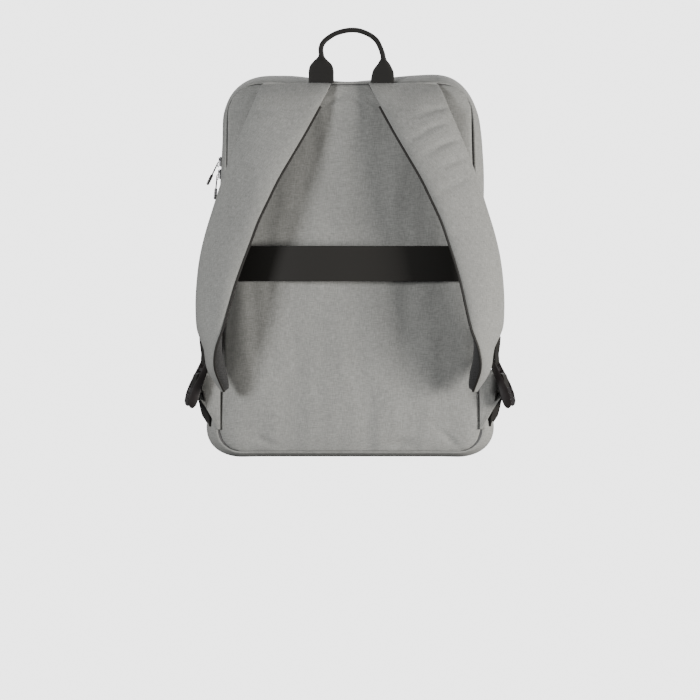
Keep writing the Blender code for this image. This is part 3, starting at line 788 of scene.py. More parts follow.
def blown(piece, cap):
    """Remesh a slab, let the cloth solver blow it up, cap the movement, and smooth it."""
    piece.data.remesh_voxel_size = VOXEL
    only(piece)
    bpy.ops.object.voxel_remesh()
    rest = [corner.co.copy() for corner in piece.data.vertices]
    cloth = piece.modifiers.new("cloth", "CLOTH")
    cloth.settings.quality = 4
    cloth.settings.mass = 0.25
    cloth.settings.use_pressure = True
    cloth.settings.uniform_pressure_force = PRESSURE
    cloth.settings.effector_weights.gravity = 0.0
    cloth.point_cache.frame_start = 1
    cloth.point_cache.frame_end = 20
    for step in range(1, 21):
        bpy.context.scene.frame_set(step)
    only(piece)
    bpy.ops.object.modifier_apply(modifier="cloth")
    bpy.context.scene.frame_set(1)
    for corner, start in zip(piece.data.vertices, rest):
        moved = corner.co - start
        if moved.length > cap:
            corner.co = start + moved * (cap / moved.length)
    regrown(piece, rest)
    modified(piece, "SMOOTH", factor=0.5, iterations=3)
    return rounded(piece)


DIMPLES = (
    # x, z and slope of the puckers that pull on the top and bottom seams
    (0.006, 0.424, 0.7), (-0.014, 0.426, -0.5), (0.024, 0.421, 0.4), (-0.100, 0.019, 0.3),
    (0.060, 0.017, -0.2), (0.115, 0.024, 0.8),
)
UPRIGHT = Matrix.Translation((0.0, Y_BACK + 0.0045, 0.0))
PAD_EDGE = -0.0011
back_sizes = [size - PAD_EDGE * sign for size, sign in zip(BACK_SEAM, (1, 1, -1, 1, 1, 1))]
back_pad = blown(outline_slab("back_pad", back_sizes, 0.0085, UPRIGHT), 0.0035)
for corner in back_pad.data.vertices:
    x, y, z = corner.co
    if y < Y_BACK + 0.004:
        inside = min(1.0, max(0.0, (BACK_SEAM[0] - abs(x)) / 0.03)) * min(1.0, (BACK_SEAM[3] - z) / 0.02)
        folds = 0.0019 * crumple((x * 2.2, 0.0, z * 0.45), 13.0, 1.3)
        folds = folds + 0.0007 * crumple((x * 3, 0, z), 22.0, 4.0)
        for middle_x, middle_z, lean in DIMPLES:
            along = (x - middle_x) * lean + (z - middle_z)
            folds += 0.0022 * hump(along, 0.0, 0.0045) * hump(x, middle_x, 0.014)
        corner.co.y += folds * inside - 0.0008 * inside
    corner.co.x -= 0.0013 * hump(x, 0.145, 0.012) * hump(z, 0.385, 0.055)
settle(back_pad, CLOTH, "grey_cloth", "bag", "back_panel", "back_foam")

# %% [markdown]
# ## Shoulder straps
# Each strap is a padded ribbon that is sewn in flat at the top, swings out over the shoulder and
# twists as it narrows. Its path is a short list of stations: both edges, depth, width, thickness and
# how far the section is cupped. The right strap carries the creases of its bend.

# %% Strap path
SEAM_Z = back_high.z + SEAM_INSET
STRAP = (
    # inner x, inner z, outer x, outer z, middle y, width, thickness, cup
    (0.0205, SEAM_Z + 0.0012, 0.1045, SEAM_Z + 0.0012, -0.0775, 0.084, 0.0030, 0.0),
    (0.0360, 0.414, 0.1100, 0.430, -0.0900, 0.076, 0.0090, 0.0012),
    (0.0520, 0.384, 0.1190, 0.408, -0.1000, 0.072, 0.0100, 0.0022),
    (0.0680, 0.356, 0.1300, 0.382, -0.1060, 0.069, 0.0100, 0.0030),
    (0.0840, 0.328, 0.1415, 0.353, -0.1110, 0.066, 0.0100, 0.0032),
    (0.0970, 0.301, 0.1525, 0.322, -0.1145, 0.064, 0.0100, 0.0034),
    (0.1080, 0.277, 0.1620, 0.292, -0.1170, 0.062, 0.0100, 0.0034),
    (0.1170, 0.252, 0.1710, 0.262, -0.1180, 0.060, 0.0095, 0.0036),
    (0.1250, 0.229, 0.1770, 0.235, -0.1185, 0.058, 0.0095, 0.0038),
    (0.1330, 0.203, 0.1805, 0.206, -0.1185, 0.055, 0.0090, 0.0042),
    (0.1400, 0.175, 0.1815, 0.176, -0.1175, 0.053, 0.0085, 0.0050),
    (0.1465, 0.150, 0.1785, 0.150, -0.1155, 0.050, 0.0080, 0.0062),
    (0.1545, 0.127, 0.1660, 0.129, -0.1120, 0.044, 0.0070, 0.0060),
    (0.1560, 0.104, 0.1590, 0.106, -0.1070, 0.036, 0.0060, 0.0060),
    (0.1470, 0.0780, 0.1480, 0.0785, -0.1020, 0.012, 0.0026, 0.0012),
)
STRAP_LENGTH = 0.40
STRAP_WIDTH = 0.066


def strap_frame(side, v):
    """Edges, normal, thickness and cup of a strap at a share v of its length."""
    near, here, far = flowing(STRAP, v - 0.01), flowing(STRAP, v), flowing(STRAP, v + 0.01)
    edges = []
    for xi, zi, xo, zo, y, width, _, _ in (near, here, far):
        shift = -side * 0.0036 * hump(v, 0.80, 0.22)
        seen = math.hypot(xo - xi, zo - zi)
        lean = math.sqrt(max(0.0, width * width - seen * seen)) / 2
        edges.append((Vector((xi + shift, y - lean, zi)), Vector((xo, y + lean, zo))))
    tangent = (edges[2][0] + edges[2][1] - edges[0][0] - edges[0][1]).normalized()
    across = (edges[1][1] - edges[1][0]).normalized()
    return edges[1][0], edges[1][1], tangent.cross(across).normalized(), here[6], here[7]


LINING_FILL = 0.0030
LINING_SHOWS = 0.0125
CREASES = (
    # share of the length, where across, half width, depth
    (0.125, 0.6, 0.006, 0.0026), (0.175, 0.1, 0.005, 0.0030), (0.228, 0.3, 0.007, 0.0032),
    (0.280, 0.5, 0.006, 0.0020), (0.335, -0.1, 0.008, 0.0018), (0.470, -0.6, 0.009, 0.0012),
    (0.585, 0.4, 0.008, 0.0010), (0.790, 0.2, 0.006, 0.0016), (0.850, -0.2, 0.005, 0.0014),
)


def strap_relief(side, w, v):
    """Creases and slow swelling of a strap's cloth."""
    strength = 1.0 if side > 0 else 0.35
    relief = 0.0
    for where, across, width, depth in CREASES:
        bend = where + 0.010 * w * w - 0.006 * w * side
        relief -= depth * strength * hump(v, bend, width) * hump(w, across, 0.75)
    return relief + 0.0009 * crumple((w * 0.9, v * 7.0, side), 1.6, 2.0)


def strap_place(side, face, inset=0.0):
    """place(u, v) for a strap's outer face (1) or its lining (-1)."""
    def place(u, v):
        w = math.sin(math.pi * (u - 0.5)) * (1.0 - inset)
        inner, outer, normal, thickness, cup = strap_frame(side, v)
        swell = thickness / 2 * max(0.0, 1.0 - w ** 4) ** 0.5
        edge = math.sqrt(max(0.0, 1.0 - abs(w) ** 6))
        height = cup * (1.0 - w * w) + face * swell
        if face > 0:
            height += strap_relief(side, w, v) * edge
        else:
            height -= LINING_FILL * hump(v, 0.90, 0.12) * max(0.0, 1.0 - ((w + 0.35) / 0.75) ** 2)
        spot = inner.lerp(outer, (w + 1.0) / 2) + normal * height
        if face < 0:
            rise = min(1.0, max(0.0, (v - 0.62) / 0.31)) ** 1.5
            rise = rise * math.sqrt(max(0.0, min(1.0, (1.0 - v) / 0.06)))
            spot.x -= LINING_SHOWS * rise * max(0.0, 1.0 - ((w + 0.45) / 0.55) ** 2)
        return Vector((side * spot.x, spot.y, spot.z))
    return place


print("strap stations:", len(STRAP))

# %% [markdown]
# A strap is sewn from two faces, with black binding along its inner edge. Outer face and lining are
# strips with a little thickness, and the lining fills out towards the end, where the foam's side shows.

# %% Straps
PIPING = 0.0015
PIPING_START = 0.07


def bend_at_seam(piece, body, *replaced):
    """Bake a strap's piece in place and hide the CAD nodes that it stands for."""
    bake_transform(piece)
    if replaced:
        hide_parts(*replaced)
    print(f"{piece.name}: {len(piece.data.polygons)} faces, bends at the top seam")


def build_strap(word, side):
    body = "strap_" + word
    size = (STRAP_WIDTH, STRAP_LENGTH)
    cover = strip("strap_cover_" + word, 22, 110, strap_place(side, 1), size, side > 0)
    thick(cover, 0.0008)
    bend_at_seam(dressed(rounded(cover), CLOTH_STRIP), body, "strap_pad_" + word)
    lining = strip("strap_mesh_" + word, 16, 80, strap_place(side, -1), size, side < 0)
    thick(lining, 0.0008)
    bend_at_seam(dressed(lining, MESH), body, "strap_lining_" + word)
    edge = []
    for step in range(81):
        v = PIPING_START + (1.0 - PIPING_START) * step / 80
        inner, outer, normal, _, _ = strap_frame(side, v)
        spot = inner + (inner - outer).normalized() * PIPING * 0.5 - normal * PIPING * 0.5
        edge.append(Vector((side * spot.x, spot.y, spot.z)))
    piping = tube("strap_piping_" + word, edge, PIPING)
    bend_at_seam(dressed(piping, WEBBING), body)


build_strap("left", -1.0)
build_strap("right", 1.0)

# %% [markdown]
# ## Luggage band and handle
# The band is one flat length of wide webbing, sewn in at the sides and bowed out in the middle. The
# handle is narrower webbing, flat where it is sewn on and folded in half lengthwise along its grip.

# %% Band
band_low, band_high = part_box("luggage_band")
BAND_HALF = band_high.x
BAND_BOW = 0.0205


def band_place(u, v):
    x = (u - 0.5) * 2.0 * BAND_HALF
    z = band_low.z + (band_high.z - band_low.z) * v
    bow = BAND_BOW * (1.0 - abs(x / BAND_HALF) ** 2.6)
    ripple = 0.0006 * crumple((x, 0.0, z * 0.5), 16.0, 6.0)
    return Vector((x, band_high.y - bow + ripple - 0.0002, z + 0.0006 * crumple((x, 0, 0), 9.0, 2.0)))


band = strip("band", 90, 14, band_place, (BAND_HALF * 2, 0.042), flip=False)
thick(band, 0.0014)
settle(rounded(band), WEBBING, "webbing", "bag", "luggage_band")

# %% Handle
HANDLE = (
    # x, z, breadth across the path, depth along y
    (-0.0338, 0.4425, 0.0300, 0.0022), (-0.0340, 0.4473, 0.0299, 0.0023), (-0.0341, 0.4520, 0.0299, 0.0024),
    (-0.0341, 0.4573, 0.0298, 0.0026), (-0.0341, 0.4639, 0.0262, 0.0034), (-0.0341, 0.4688, 0.0178, 0.0060),
    (-0.0340, 0.4724, 0.0104, 0.0095), (-0.0340, 0.4760, 0.0066, 0.0120), (-0.0342, 0.4850, 0.0060, 0.0135),
    (-0.0300, 0.4927, 0.0058, 0.0140), (-0.0194, 0.5003, 0.0056, 0.0140), (-0.0090, 0.5040, 0.0056, 0.0140),
    (0.0017, 0.5056, 0.0056, 0.0140), (0.0120, 0.5045, 0.0056, 0.0140), (0.0230, 0.5000, 0.0056, 0.0140),
    (0.0310, 0.4937, 0.0058, 0.0140), (0.0354, 0.4860, 0.0058, 0.0140), (0.0384, 0.4777, 0.0060, 0.0130),
    (0.0394, 0.4720, 0.0066, 0.0110), (0.0395, 0.4680, 0.0110, 0.0080), (0.0397, 0.4635, 0.0172, 0.0054),
    (0.0394, 0.4573, 0.0242, 0.0032), (0.0388, 0.4500, 0.0270, 0.0025), (0.0383, 0.4425, 0.0284, 0.0022),
)
HANDLE_Y = sum(corner.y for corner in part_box("carry_handle")) / 2


def handle_place(u, v):
    """Round the folded webbing: u goes round its section and v along it."""
    near, far = flowing(HANDLE, v - 0.01), flowing(HANDLE, v + 0.01)
    x, z, breadth, depth = flowing(HANDLE, v)
    ahead = Vector((far[0] - near[0], far[1] - near[1])).normalized()
    angle = 2 * math.pi * u
    c, s = math.cos(angle), math.sin(angle)
    square = (abs(c) ** 4 + abs(s) ** 4) ** 0.25
    out = c / square * breadth / 2
    return Vector((x - ahead.y * out, HANDLE_Y + s / square * depth / 2, z + ahead.x * out))


handle = capped(strip("handle", 24, 160, handle_place, (0.05, 0.16)))
settle(handle, HANDLE_WEB, "webbing", "handle", "carry_handle")

# %% [markdown]
# ## Lower harness
# A ladder-lock is one moulding: two side rails, three bars for the webbing and a ribbed lip that a
# thumb lifts to let the strap run. The rails are cut from one side outline, and the bars join them.

# %% Ladder-locks
lock_low, lock_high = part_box("ladder_lock_right")
BAR = Vector((0.1705, (lock_low.y + lock_high.y) / 2, 0.113))
LOCK_LEAN = math.radians(21.0)
LOCK_TURN = math.radians(-13.0)
LOCK_HALF = 0.016
RAIL = 0.0032
LOCK_SIDE = (
    # outward, down: the outline of a side rail, clockwise from the top bar
    (0.0030, 0.0010), (0.0036, -0.0080), (0.0050, -0.0200), (0.0062, -0.0320), (0.0062, -0.0430),
    (0.0046, -0.0520), (0.0022, -0.0560), (-0.0004, -0.0574), (-0.0032, -0.0560), (-0.0048, -0.0520),
    (-0.0050, -0.0440), (-0.0038, -0.0340), (-0.0030, -0.0220), (-0.0030, -0.0100), (-0.0030, 0.0006),
    (-0.0016, 0.0028), (0.0016, 0.0028),
)
LOCK_BARS = (
    # outward, down, thickness, height
    (0.0, 0.0, 0.0040, 0.0036), (0.0002, -0.0106, 0.0044, 0.0050), (0.0010, -0.0214, 0.0046, 0.0052),
)
LIP = ((0.0022, -0.0300, 0.0040), (0.0028, -0.0380, 0.0044), (0.0020, -0.0450, 0.0064),
       (0.0010, -0.0510, 0.0088))


def lock_matrix():
    """The right-hand lock's frame: x outward, y along the bar, z up the lock, turned to the back."""
    out = Vector((math.cos(LOCK_LEAN), 0.0, math.sin(LOCK_LEAN)))
    up = Vector((-math.sin(LOCK_LEAN), 0.0, math.cos(LOCK_LEAN)))
    return Matrix.Translation(BAR) @ Matrix((out, Vector((0.0, 1.0, 0.0)), up)).transposed().to_4x4() @ (
        Matrix.Rotation(LOCK_TURN, 4, "Z"))


def turned(piece):
    """Turn a right-hand length of webbing with the lock, about an upright line through its bar."""
    turn = Matrix.Translation(BAR) @ Matrix.Rotation(LOCK_TURN, 4, "Z") @ Matrix.Translation(-BAR)
    piece.data.transform(turn)
    return piece


def build_lock(word, side):
    pieces = []
    for end in (-1, 1):
        place = Matrix.Translation((0.0, end * (LOCK_HALF - RAIL / 2), 0.0))
        pieces.append(slab("rail", LOCK_SIDE, RAIL, place, 0.0009))
    width = 2 * LOCK_HALF - RAIL
    for x, z, thickness, height in LOCK_BARS:
        pieces.append(brick("bar", (thickness, width, height), (x, 0.0, z), 0.0014, 3))
    for x, z, thickness in LIP:
        pieces.append(brick("lip", (thickness, width, 0.0085), (x, 0.0, z), thickness * 0.45, 4))
    for step in range(4):
        pieces.append(brick("rib", (0.0016, width * 0.8, 0.0011), (0.0046, 0.0, -0.0400 - step * 0.0030),
                            0.0004, 2))
    lock = joined("lock_" + word, pieces)
    lock.data.transform(lock_matrix())
    settle(mirrored(lock, side), ACETAL, "moulded", "lock_" + word, "ladder_lock_" + word)


build_lock("left", -1)
build_lock("right", 1)

# %% [markdown]
# Webbing joins the strap to the lock and the lock to the bag. It leaves the underside of the strap,
# loops round the lock's top bar and comes back. The lower webbing starts against the gusset behind
# the anchor tab, runs over the lock's middle bar and ends in a short tail.

# %% Lower webbing
WEB_WIDTH = 0.0245
WEB_THICKNESS = 0.0014
LOOP_ROUTE = (
    # x, z of the right-hand side, from under the strap to round the bar
    (0.1742, 0.1560), (0.1742, 0.1460), (0.1722, 0.1350), (0.1692, 0.1240), (0.1676, 0.1170),
    (0.1676, 0.1120), (0.1692, 0.1100), (0.1715, 0.1098), (0.1734, 0.1118), (0.1737, 0.1160),
    (0.1734, 0.1230), (0.1748, 0.1330), (0.1756, 0.1430),
)
CLIMB_ROUTE = (
    # x, z, and y forward of the bar: it starts against the gusset, behind the tab
    (0.1668, 0.0365, 0.020), (0.1682, 0.0405, 0.020), (0.1700, 0.0460, 0.0185), (0.1722, 0.0520, 0.017),
    (0.1743, 0.0610, 0.015), (0.1760, 0.0700, 0.009), (0.1776, 0.0790, 0.002),
)
CLIMB_TILT = math.radians(20.0)
THREAD_ROUTE = (
    # over the middle bar, then down as a short tail
    (0.1778, 0.0770), (0.1782, 0.0840), (0.1768, 0.0905), (0.1762, 0.0960), (0.1786, 0.0990),
    (0.1824, 0.0975), (0.1840, 0.0920), (0.1850, 0.0860), (0.1858, 0.0790), (0.1856, 0.0720),
    (0.1848, 0.0665),
)


def ribbon(name, route, width, middle_y, thickness, side, body, tilt=0.0):
    """A flat length of webbing that follows a route in x and z, with its width along y, tilted outward."""
    steps = 10 * (len(route) - 1)
    route = [(*row, 0.0)[:3] for row in route]
    points = [Vector((x, y, z)) for x, z, y in (flowing(route, step / steps) for step in range(steps + 1))]
    length = sum((b - a).length for a, b in zip(points, points[1:]))

    def place(u, v):
        point = points[round(v * steps)]
        reach = (u - 0.5) * width
        lean = tilt * min(1.0, v * 2.5)
        return Vector((point.x + reach * math.sin(lean), middle_y + point.y + reach * math.cos(lean),
                       point.z))
    piece = thick(strip(name, 8, steps, place, (width, length)), thickness, 0.0)
    return mirrored(piece if body == "bag" else turned(piece), side)


def build_lower_webbing(word, side):
    y = BAR.y
    settle(ribbon("strap_web_" + word, LOOP_ROUTE, WEB_WIDTH, y, WEB_THICKNESS, side, "strap"),
           WEBBING, "webbing", "strap_" + word, "strap_loop_" + word)
    settle(ribbon("climbing_web_" + word, CLIMB_ROUTE, WEB_WIDTH, y, WEB_THICKNESS, side, "bag", CLIMB_TILT),
           WEBBING, "webbing", "bag", "lower_webbing_" + word)
    settle(ribbon("threaded_web_" + word, THREAD_ROUTE, WEB_WIDTH * 0.98, y, WEB_THICKNESS, side, "lock"),
           WEBBING, "webbing", "lock_" + word)


build_lower_webbing("left", -1)
build_lower_webbing("right", 1)

# %% [markdown]
# The end of each lower webbing is held in a folded triangle of cloth that is sewn into the back seam.
# Its free edges are hemmed, so a row of stitches follows them.

# %% Anchor tabs
TAB = ((0.1535, 0.1060), (0.1660, 0.1050), (0.1735, 0.1000), (0.1778, 0.0800), (0.1786, 0.0712),
       (0.1776, 0.0690), (0.1690, 0.0560), (0.1610, 0.0420), (0.1566, 0.0330), (0.1535, 0.0330))
TAB_HEM = ((0.1750, 0.0700), (0.1682, 0.0590), (0.1606, 0.0450), (0.1562, 0.0365))
tab_low, tab_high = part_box("anchor_tab_right")
TAB_Y = (tab_low.y + tab_high.y) / 2


def build_tab(word, side):
    tab = slab("tab_" + word, TAB, 0.0030, Matrix.Translation((0.0, TAB_Y, 0.0)), 0.0011)
    settle(mirrored(tab, side), CLOTH, "grey_cloth", "bag", "anchor_tab_" + word)
    rows = []
    for inset in (0.0, -0.0022):
        rows.append([(Vector((side * (x + inset), TAB_Y - 0.0016, z)), Vector((0, -1, 0)))
                     for x, z in TAB_HEM])
    settle(stitches("tab_stitches_" + word, rows), THREAD, "grey_cloth", "bag")


THREAD = hard("grey_thread", (0.16, 0.16, 0.15), 0.6, 0.8, 0.0, 3000.0, 0.0001)
build_tab("left", -1)
build_tab("right", 1)

# %% [markdown]
# ## Zips
# A coil zip is two woven tapes, each with a row of nylon teeth along its edge. The tapes run under
# the cloth of both halves, up one side, over the top and down the other side. One tooth is modelled
# and copied along each edge, and the two rows are half a tooth out of step.

# %% Main zip
PITCH = 1.75 * MM
TOOTH = (1.05 * MM, 2.9 * MM, 1.5 * MM)
half_round = HEIGHT - LOWER_RADIUS - UPPER_RADIUS
half_length = (FULL[0] - LOWER_RADIUS + (LOWER_RADIUS + UPPER_RADIUS) * math.pi / 2 + half_round
               + FULL[1] - UPPER_RADIUS)
zip_start = (FULL[0] - LOWER_RADIUS + LOWER_RADIUS * math.pi / 2 + 0.03 * half_round) / (2 * half_length)
TAPE_PROFILE = ((0.0130, -0.0026), (0.0078, -0.0022), (0.0040, -0.0008), (0.0012, -0.0001))


def zip_share(v):
    return zip_start + (1.0 - 2.0 * zip_start) * v


def tooth():
    return brick("tooth", TOOTH, (0.0, 0.0, 0.0), 0.0004, 1)


def build_zip_side(word, sign, body):
    def place(u, v):
        reach, grow = flowing(TAPE_PROFILE, u)
        return skin(around(zip_share(v)), Y_ZIP + sign * reach, grow)
    tape = strip("tape_" + word, 6, 150, place, (0.012, 1.05), flip=sign > 0)
    settle(thick(tape, 0.0008), TAPE, "zip_tape", body, word + "_zip_tape")
    count = int(2 * half_length * (1.0 - 2 * zip_start) / PITCH)
    frames = []
    for index in range(count):
        v = (index + 0.25 + 0.25 * sign) / count
        t = around(zip_share(v))
        here = skin(t, Y_ZIP + sign * 0.0011, 0.0005)
        ahead = skin(min(8.0, t + 0.01), Y_ZIP + sign * 0.0011, 0.0005) - here
        out = Vector((-ahead.z, 0.0, ahead.x)) * -1.0
        frames.append(frame_matrix(here, ahead, out))
    settle(repeated("teeth_" + word, tooth(), frames), ACETAL, "zip_tape", body)


build_zip_side("rear", -1, "bag")
build_zip_side("front", 1, "lid")

# %% [markdown]
# A slider is a small casting: a body that the teeth run through, a cover plate and a bail. The
# puller is a loop of cord through the bail, caught in a ribbed moulded end.

# %% Sliders and pullers
CORD = 0.0008


def slider_body():
    """A slider lying along x, with its cover plate outwards along z."""
    pieces = [brick("body", (0.0118, 0.0084, 0.0022), (0.0, 0.0, -0.0010), 0.0008, 2),
              brick("plate", (0.0104, 0.0078, 0.0010), (0.0, 0.0, 0.0011), 0.0004, 2),
              brick("post", (0.0030, 0.0030, 0.0016), (0.0028, 0.0, 0.0003), 0.0005, 2)]
    bail = [Vector((-0.0034 + 0.0030 * math.cos(a), 0.0, 0.0012 + 0.0021 * math.sin(a)))
            for a in (math.pi * step / 10 for step in range(11))]
    pieces.append(tube("bail", bail, 0.0006, 8))
    return joined("slider", pieces)


def build_slider(name, node, body, along, out):
    low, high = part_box(node)
    slider = slider_body()
    slider.name = name
    slider.data.transform(frame_matrix((low + high) / 2, along, out))
    settle(weld(slider), PLATED, "metal", body, node)


def build_puller(name, node, body, top, end, out):
    """A doubled cord from top to end, and its moulded end."""
    down = (end - top).normalized()
    side = down.cross(Vector(out)).normalized()
    length = (end - top).length
    strands = []
    for sign in (-1, 1):
        path = [top + down * (length * f)
                + side * sign * (0.0011 * math.sin(math.pi * min(1.0, f * 1.5)) + 0.0002)
                for f in (step / 12 for step in range(10))]
        strands.append(tube("strand", path, CORD, 8))
    settle(joined(name, strands), BRAID, "cord", body, node)
    grip = [(0.52, 0.0008), (0.54, 0.0016), (0.60, 0.0019), (0.66, 0.0017), (0.72, 0.0020), (0.78, 0.0017),
            (0.84, 0.0020), (0.90, 0.0017), (0.96, 0.0019), (1.00, 0.0014), (1.02, 0.0005)]
    path = [top + down * length * share for share, _ in grip]
    settle(tube(name + "_end", path, [radius for _, radius in grip], 12), ACETAL, "moulded", body)


for word in ("upper", "lower"):
    build_slider("slider_" + word, "main_slider_" + word, word + "_slider", (0.0, 0.0, 1.0),
                 (-1.0, 0.0, 0.0))
    low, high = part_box("main_puller_" + word)
    y = (low.y + high.y) / 2
    radius = (high.y - low.y) / 2
    build_puller("puller_" + word, "main_puller_" + word, word + "_puller",
                 Vector((high.x - radius, y, high.z)),
                 Vector((low.x + radius, y, low.z + radius)), (-1.0, 0.0, 0.0))

# %% [markdown]
# Where the zip stops, low on each side, plain cloth carries on under the bag and is the lid's hinge.
# Rows of stitches hold the cloth down on the zip's tapes.

# %% Cloth hinge and zip stitches


def hinge_place(u, v):
    share = (v - 0.5) * 2.0 * zip_start
    t = around(share % 1.0)
    return skin(t, Y_ZIP + (u - 0.5) * 0.0180, 0.0003)


hinge = strip("hinge_cloth", 12, 90, hinge_place, (0.018, 0.42))
dressed(thick(hinge, 0.0012), CLOTH)
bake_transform(hinge)

for word, sign, body in (("rear", -1, "bag"), ("front", 1, "lid")):
    row = []
    for step in range(241):
        t = around(zip_share(step / 240))
        y = Y_ZIP + sign * 0.0098
        here = skin(t, y, 0.0001)
        row.append((here, here - skin(t, y, -0.01)))
    settle(stitches("zip_stitches_" + word, [row]), THREAD, "grey_cloth", body)

# %% [markdown]
# ## Front
# The front panel leans back a little, because the bag gets shallower towards its top. Its pad is
# blown up like the back pad, pressed flat under the module, and cut through for the pocket's zip.

# %% Front pad
FACE_LEAN = math.atan((Y_FRONT - Y_ZIP) * TAPER / HEIGHT)
FACE = Matrix.Translation((0.0, Y_FRONT, 0.0)) @ Matrix.Rotation(FACE_LEAN, 4, "X")
FACE_BACK = FACE.inverted()
MODULE_Z = 0.262
MODULE_HALF = (0.100, 0.135)
BORDER_OUT = 0.010
BORDER_IN = 0.005
ZIP_Z = 0.098
SLOT_HALF = (0.100, 0.0045)
POCKET_TAPE_HALF = (0.108, 0.0130)


def round_box(half_x, half_z, radius, z):
    """The outline of a rectangle with round corners about x = 0."""
    sizes = (half_x, half_x, z - half_z, z + half_z, radius, radius)
    stops = [1.0 + step / 6 for step in range(7)] + [3.0 + step / 6 for step in range(7)]
    return [outline_point(t, sizes) for t in stops + [10.0 - t for t in stops[::-1]]]


def pressed(x, z, half_x, half_z, middle):
    """1 inside a rectangle, falling to 0 over a centimetre outside it."""
    reach = max(abs(x) - half_x, abs(z - middle) - half_z, 0.0)
    return max(0.0, 1.0 - reach / 0.012)


front_sizes = [size - PAD_EDGE * sign for size, sign in zip(FRONT_SEAM, (1, 1, -1, 1, 1, 1))]
front_place = FACE @ Matrix.Translation((0, -0.0036, 0))
front_pad = blown(outline_slab("front_pad", front_sizes, 0.0075, front_place), 0.003)
module_half = (MODULE_HALF[0] + BORDER_OUT, MODULE_HALF[1] + BORDER_OUT)
for corner in front_pad.data.vertices:
    spot = FACE_BACK @ corner.co
    if spot.y > -0.003:
        hold = max(pressed(spot.x, spot.z, *module_half, MODULE_Z),
                   pressed(spot.x, spot.z, *POCKET_TAPE_HALF, ZIP_Z))
        loose = spot.y + 0.0008 * crumple((spot.x, 0.0, spot.z), 26.0, 9.0)
        spot.y = loose + (min(loose, -0.0001) - loose) * hold
        corner.co = FACE @ spot
slot_cutter = slab("slot_cutter", round_box(*SLOT_HALF, 0.003, ZIP_Z), 0.03, FACE)
modified(front_pad, "BOOLEAN", operation="DIFFERENCE", object=slot_cutter)
bpy.data.objects.remove(slot_cutter, do_unlink=True)
settle(front_pad, CLOTH, "grey_cloth", "lid", "front_panel")
face_inward = FACE.to_3x3() @ Vector((0.0, -1.0, 0.0))
lined(front_pad, lambda centre, normal: normal.dot(face_inward) > 0.5 and (FACE_BACK @ centre).y < -0.004)
lined(back_pad, lambda centre, normal: normal.y > 0.5)
for wall in (rear_gusset, front_gusset):
    lined(wall, lambda centre, normal: normal.dot(Vector((-centre.x, 0.0, 0.225 - centre.z))) > 0.02)

# %% [markdown]
# ## Solar module
# The module is laminated like a flexible marine panel: black backing, eight monocrystalline cells in
# two strings, tinned ribbons that carry their current, and a clear dimpled film. Cells have cut
# corners and hair-thin silver fingers across them. The fingers are too fine to model, so the cell's
# finish draws them, and the gloss of the film is put on the layers under it as a clear coat.

# %% Module finishes


def cell_finish():
    finish = Finish("silicon", (0.005, 0.007, 0.018), 0.35, Coat_Weight=0.5, Coat_Roughness=0.10)
    fingers = finish.math("POWER", finish.wave("Object", (1.0, 1.0, 1.0 / 0.0019), "Z"), 30.0)
    crystal = finish.noise("Object", (22.0, 22.0, 16.0), 2.0)
    base = finish.ramp(crystal, (0.3, (0.003, 0.005, 0.012)), (0.7, (0.007, 0.012, 0.032)))
    lines = finish.ramp(fingers, (0.35, (0.0, 0.0, 0.0)), (0.9, (0.035, 0.040, 0.050)))
    finish.colour(finish.tint(base, 1.0, lines, "ADD"))
    finish.rough(crystal, 0.28, 0.40)
    return finish.material


def film_finish():
    finish = Finish("clear_film", (0.85, 0.88, 0.92), 0.16, Alpha=0.03, Specular_IOR_Level=0.6)
    dimples = finish.add("ShaderNodeTexVoronoi", feature="SMOOTH_F1")
    dimples.inputs["Scale"].default_value = 1.0
    dimples.inputs["Randomness"].default_value = 0.15
    finish.link(finish.place("Object", (620.0, 620.0, 620.0)), dimples.inputs["Vector"])
    finish.bump((dimples.outputs["Distance"], 0.35, 0.0002))
    return finish.material


def backing_finish():
    finish = Finish("module_backing", (0.010, 0.010, 0.012), 0.4, Coat_Weight=0.6, Coat_Roughness=0.15)
    glass = finish.wave("Object", (700.0, 700.0, 700.0), "DIAGONAL", 1.0)
    finish.colour(finish.ramp(glass, (0.2, (0.007, 0.007, 0.009)), (0.8, (0.016, 0.016, 0.019))))
    finish.bump((glass, 0.2, 0.0001))
    return finish.material


def board_finish():
    finish = Finish("circuit_board", (0.01, 0.07, 0.03), 0.4, Coat_Weight=0.4, Coat_Roughness=0.2)
    tracks = finish.add("ShaderNodeTexVoronoi", feature="DISTANCE_TO_EDGE")
    tracks.inputs["Scale"].default_value = 1.0
    finish.link(finish.place("Object", (260.0, 260.0, 260.0)), tracks.inputs["Vector"])
    finish.colour(finish.ramp(tracks.outputs["Distance"], (0.02, (0.03, 0.16, 0.06)),
                              (0.10, (0.008, 0.06, 0.026))))
    finish.bump((tracks.outputs["Distance"], 0.3, 0.0001))
    return finish.material


SILICON = cell_finish()
FILM = film_finish()
BACKING = backing_finish()
CIRCUIT = board_finish()
TINNED = hard("tinned_ribbon", (0.42, 0.43, 0.44), 0.25, 0.38, 1.0, 2500.0, 0.00003)

# %% Module
CELL = (0.088, 0.060)
CELL_PITCH = CELL[1] + 0.0035
CELL_CUT = 0.006
COLUMN_X = 0.0465
RIBBONS = (-0.029, 0.0, 0.029)


def face_place(y, x=0.0, z=0.0):
    return FACE @ Matrix.Translation((x, y, z))


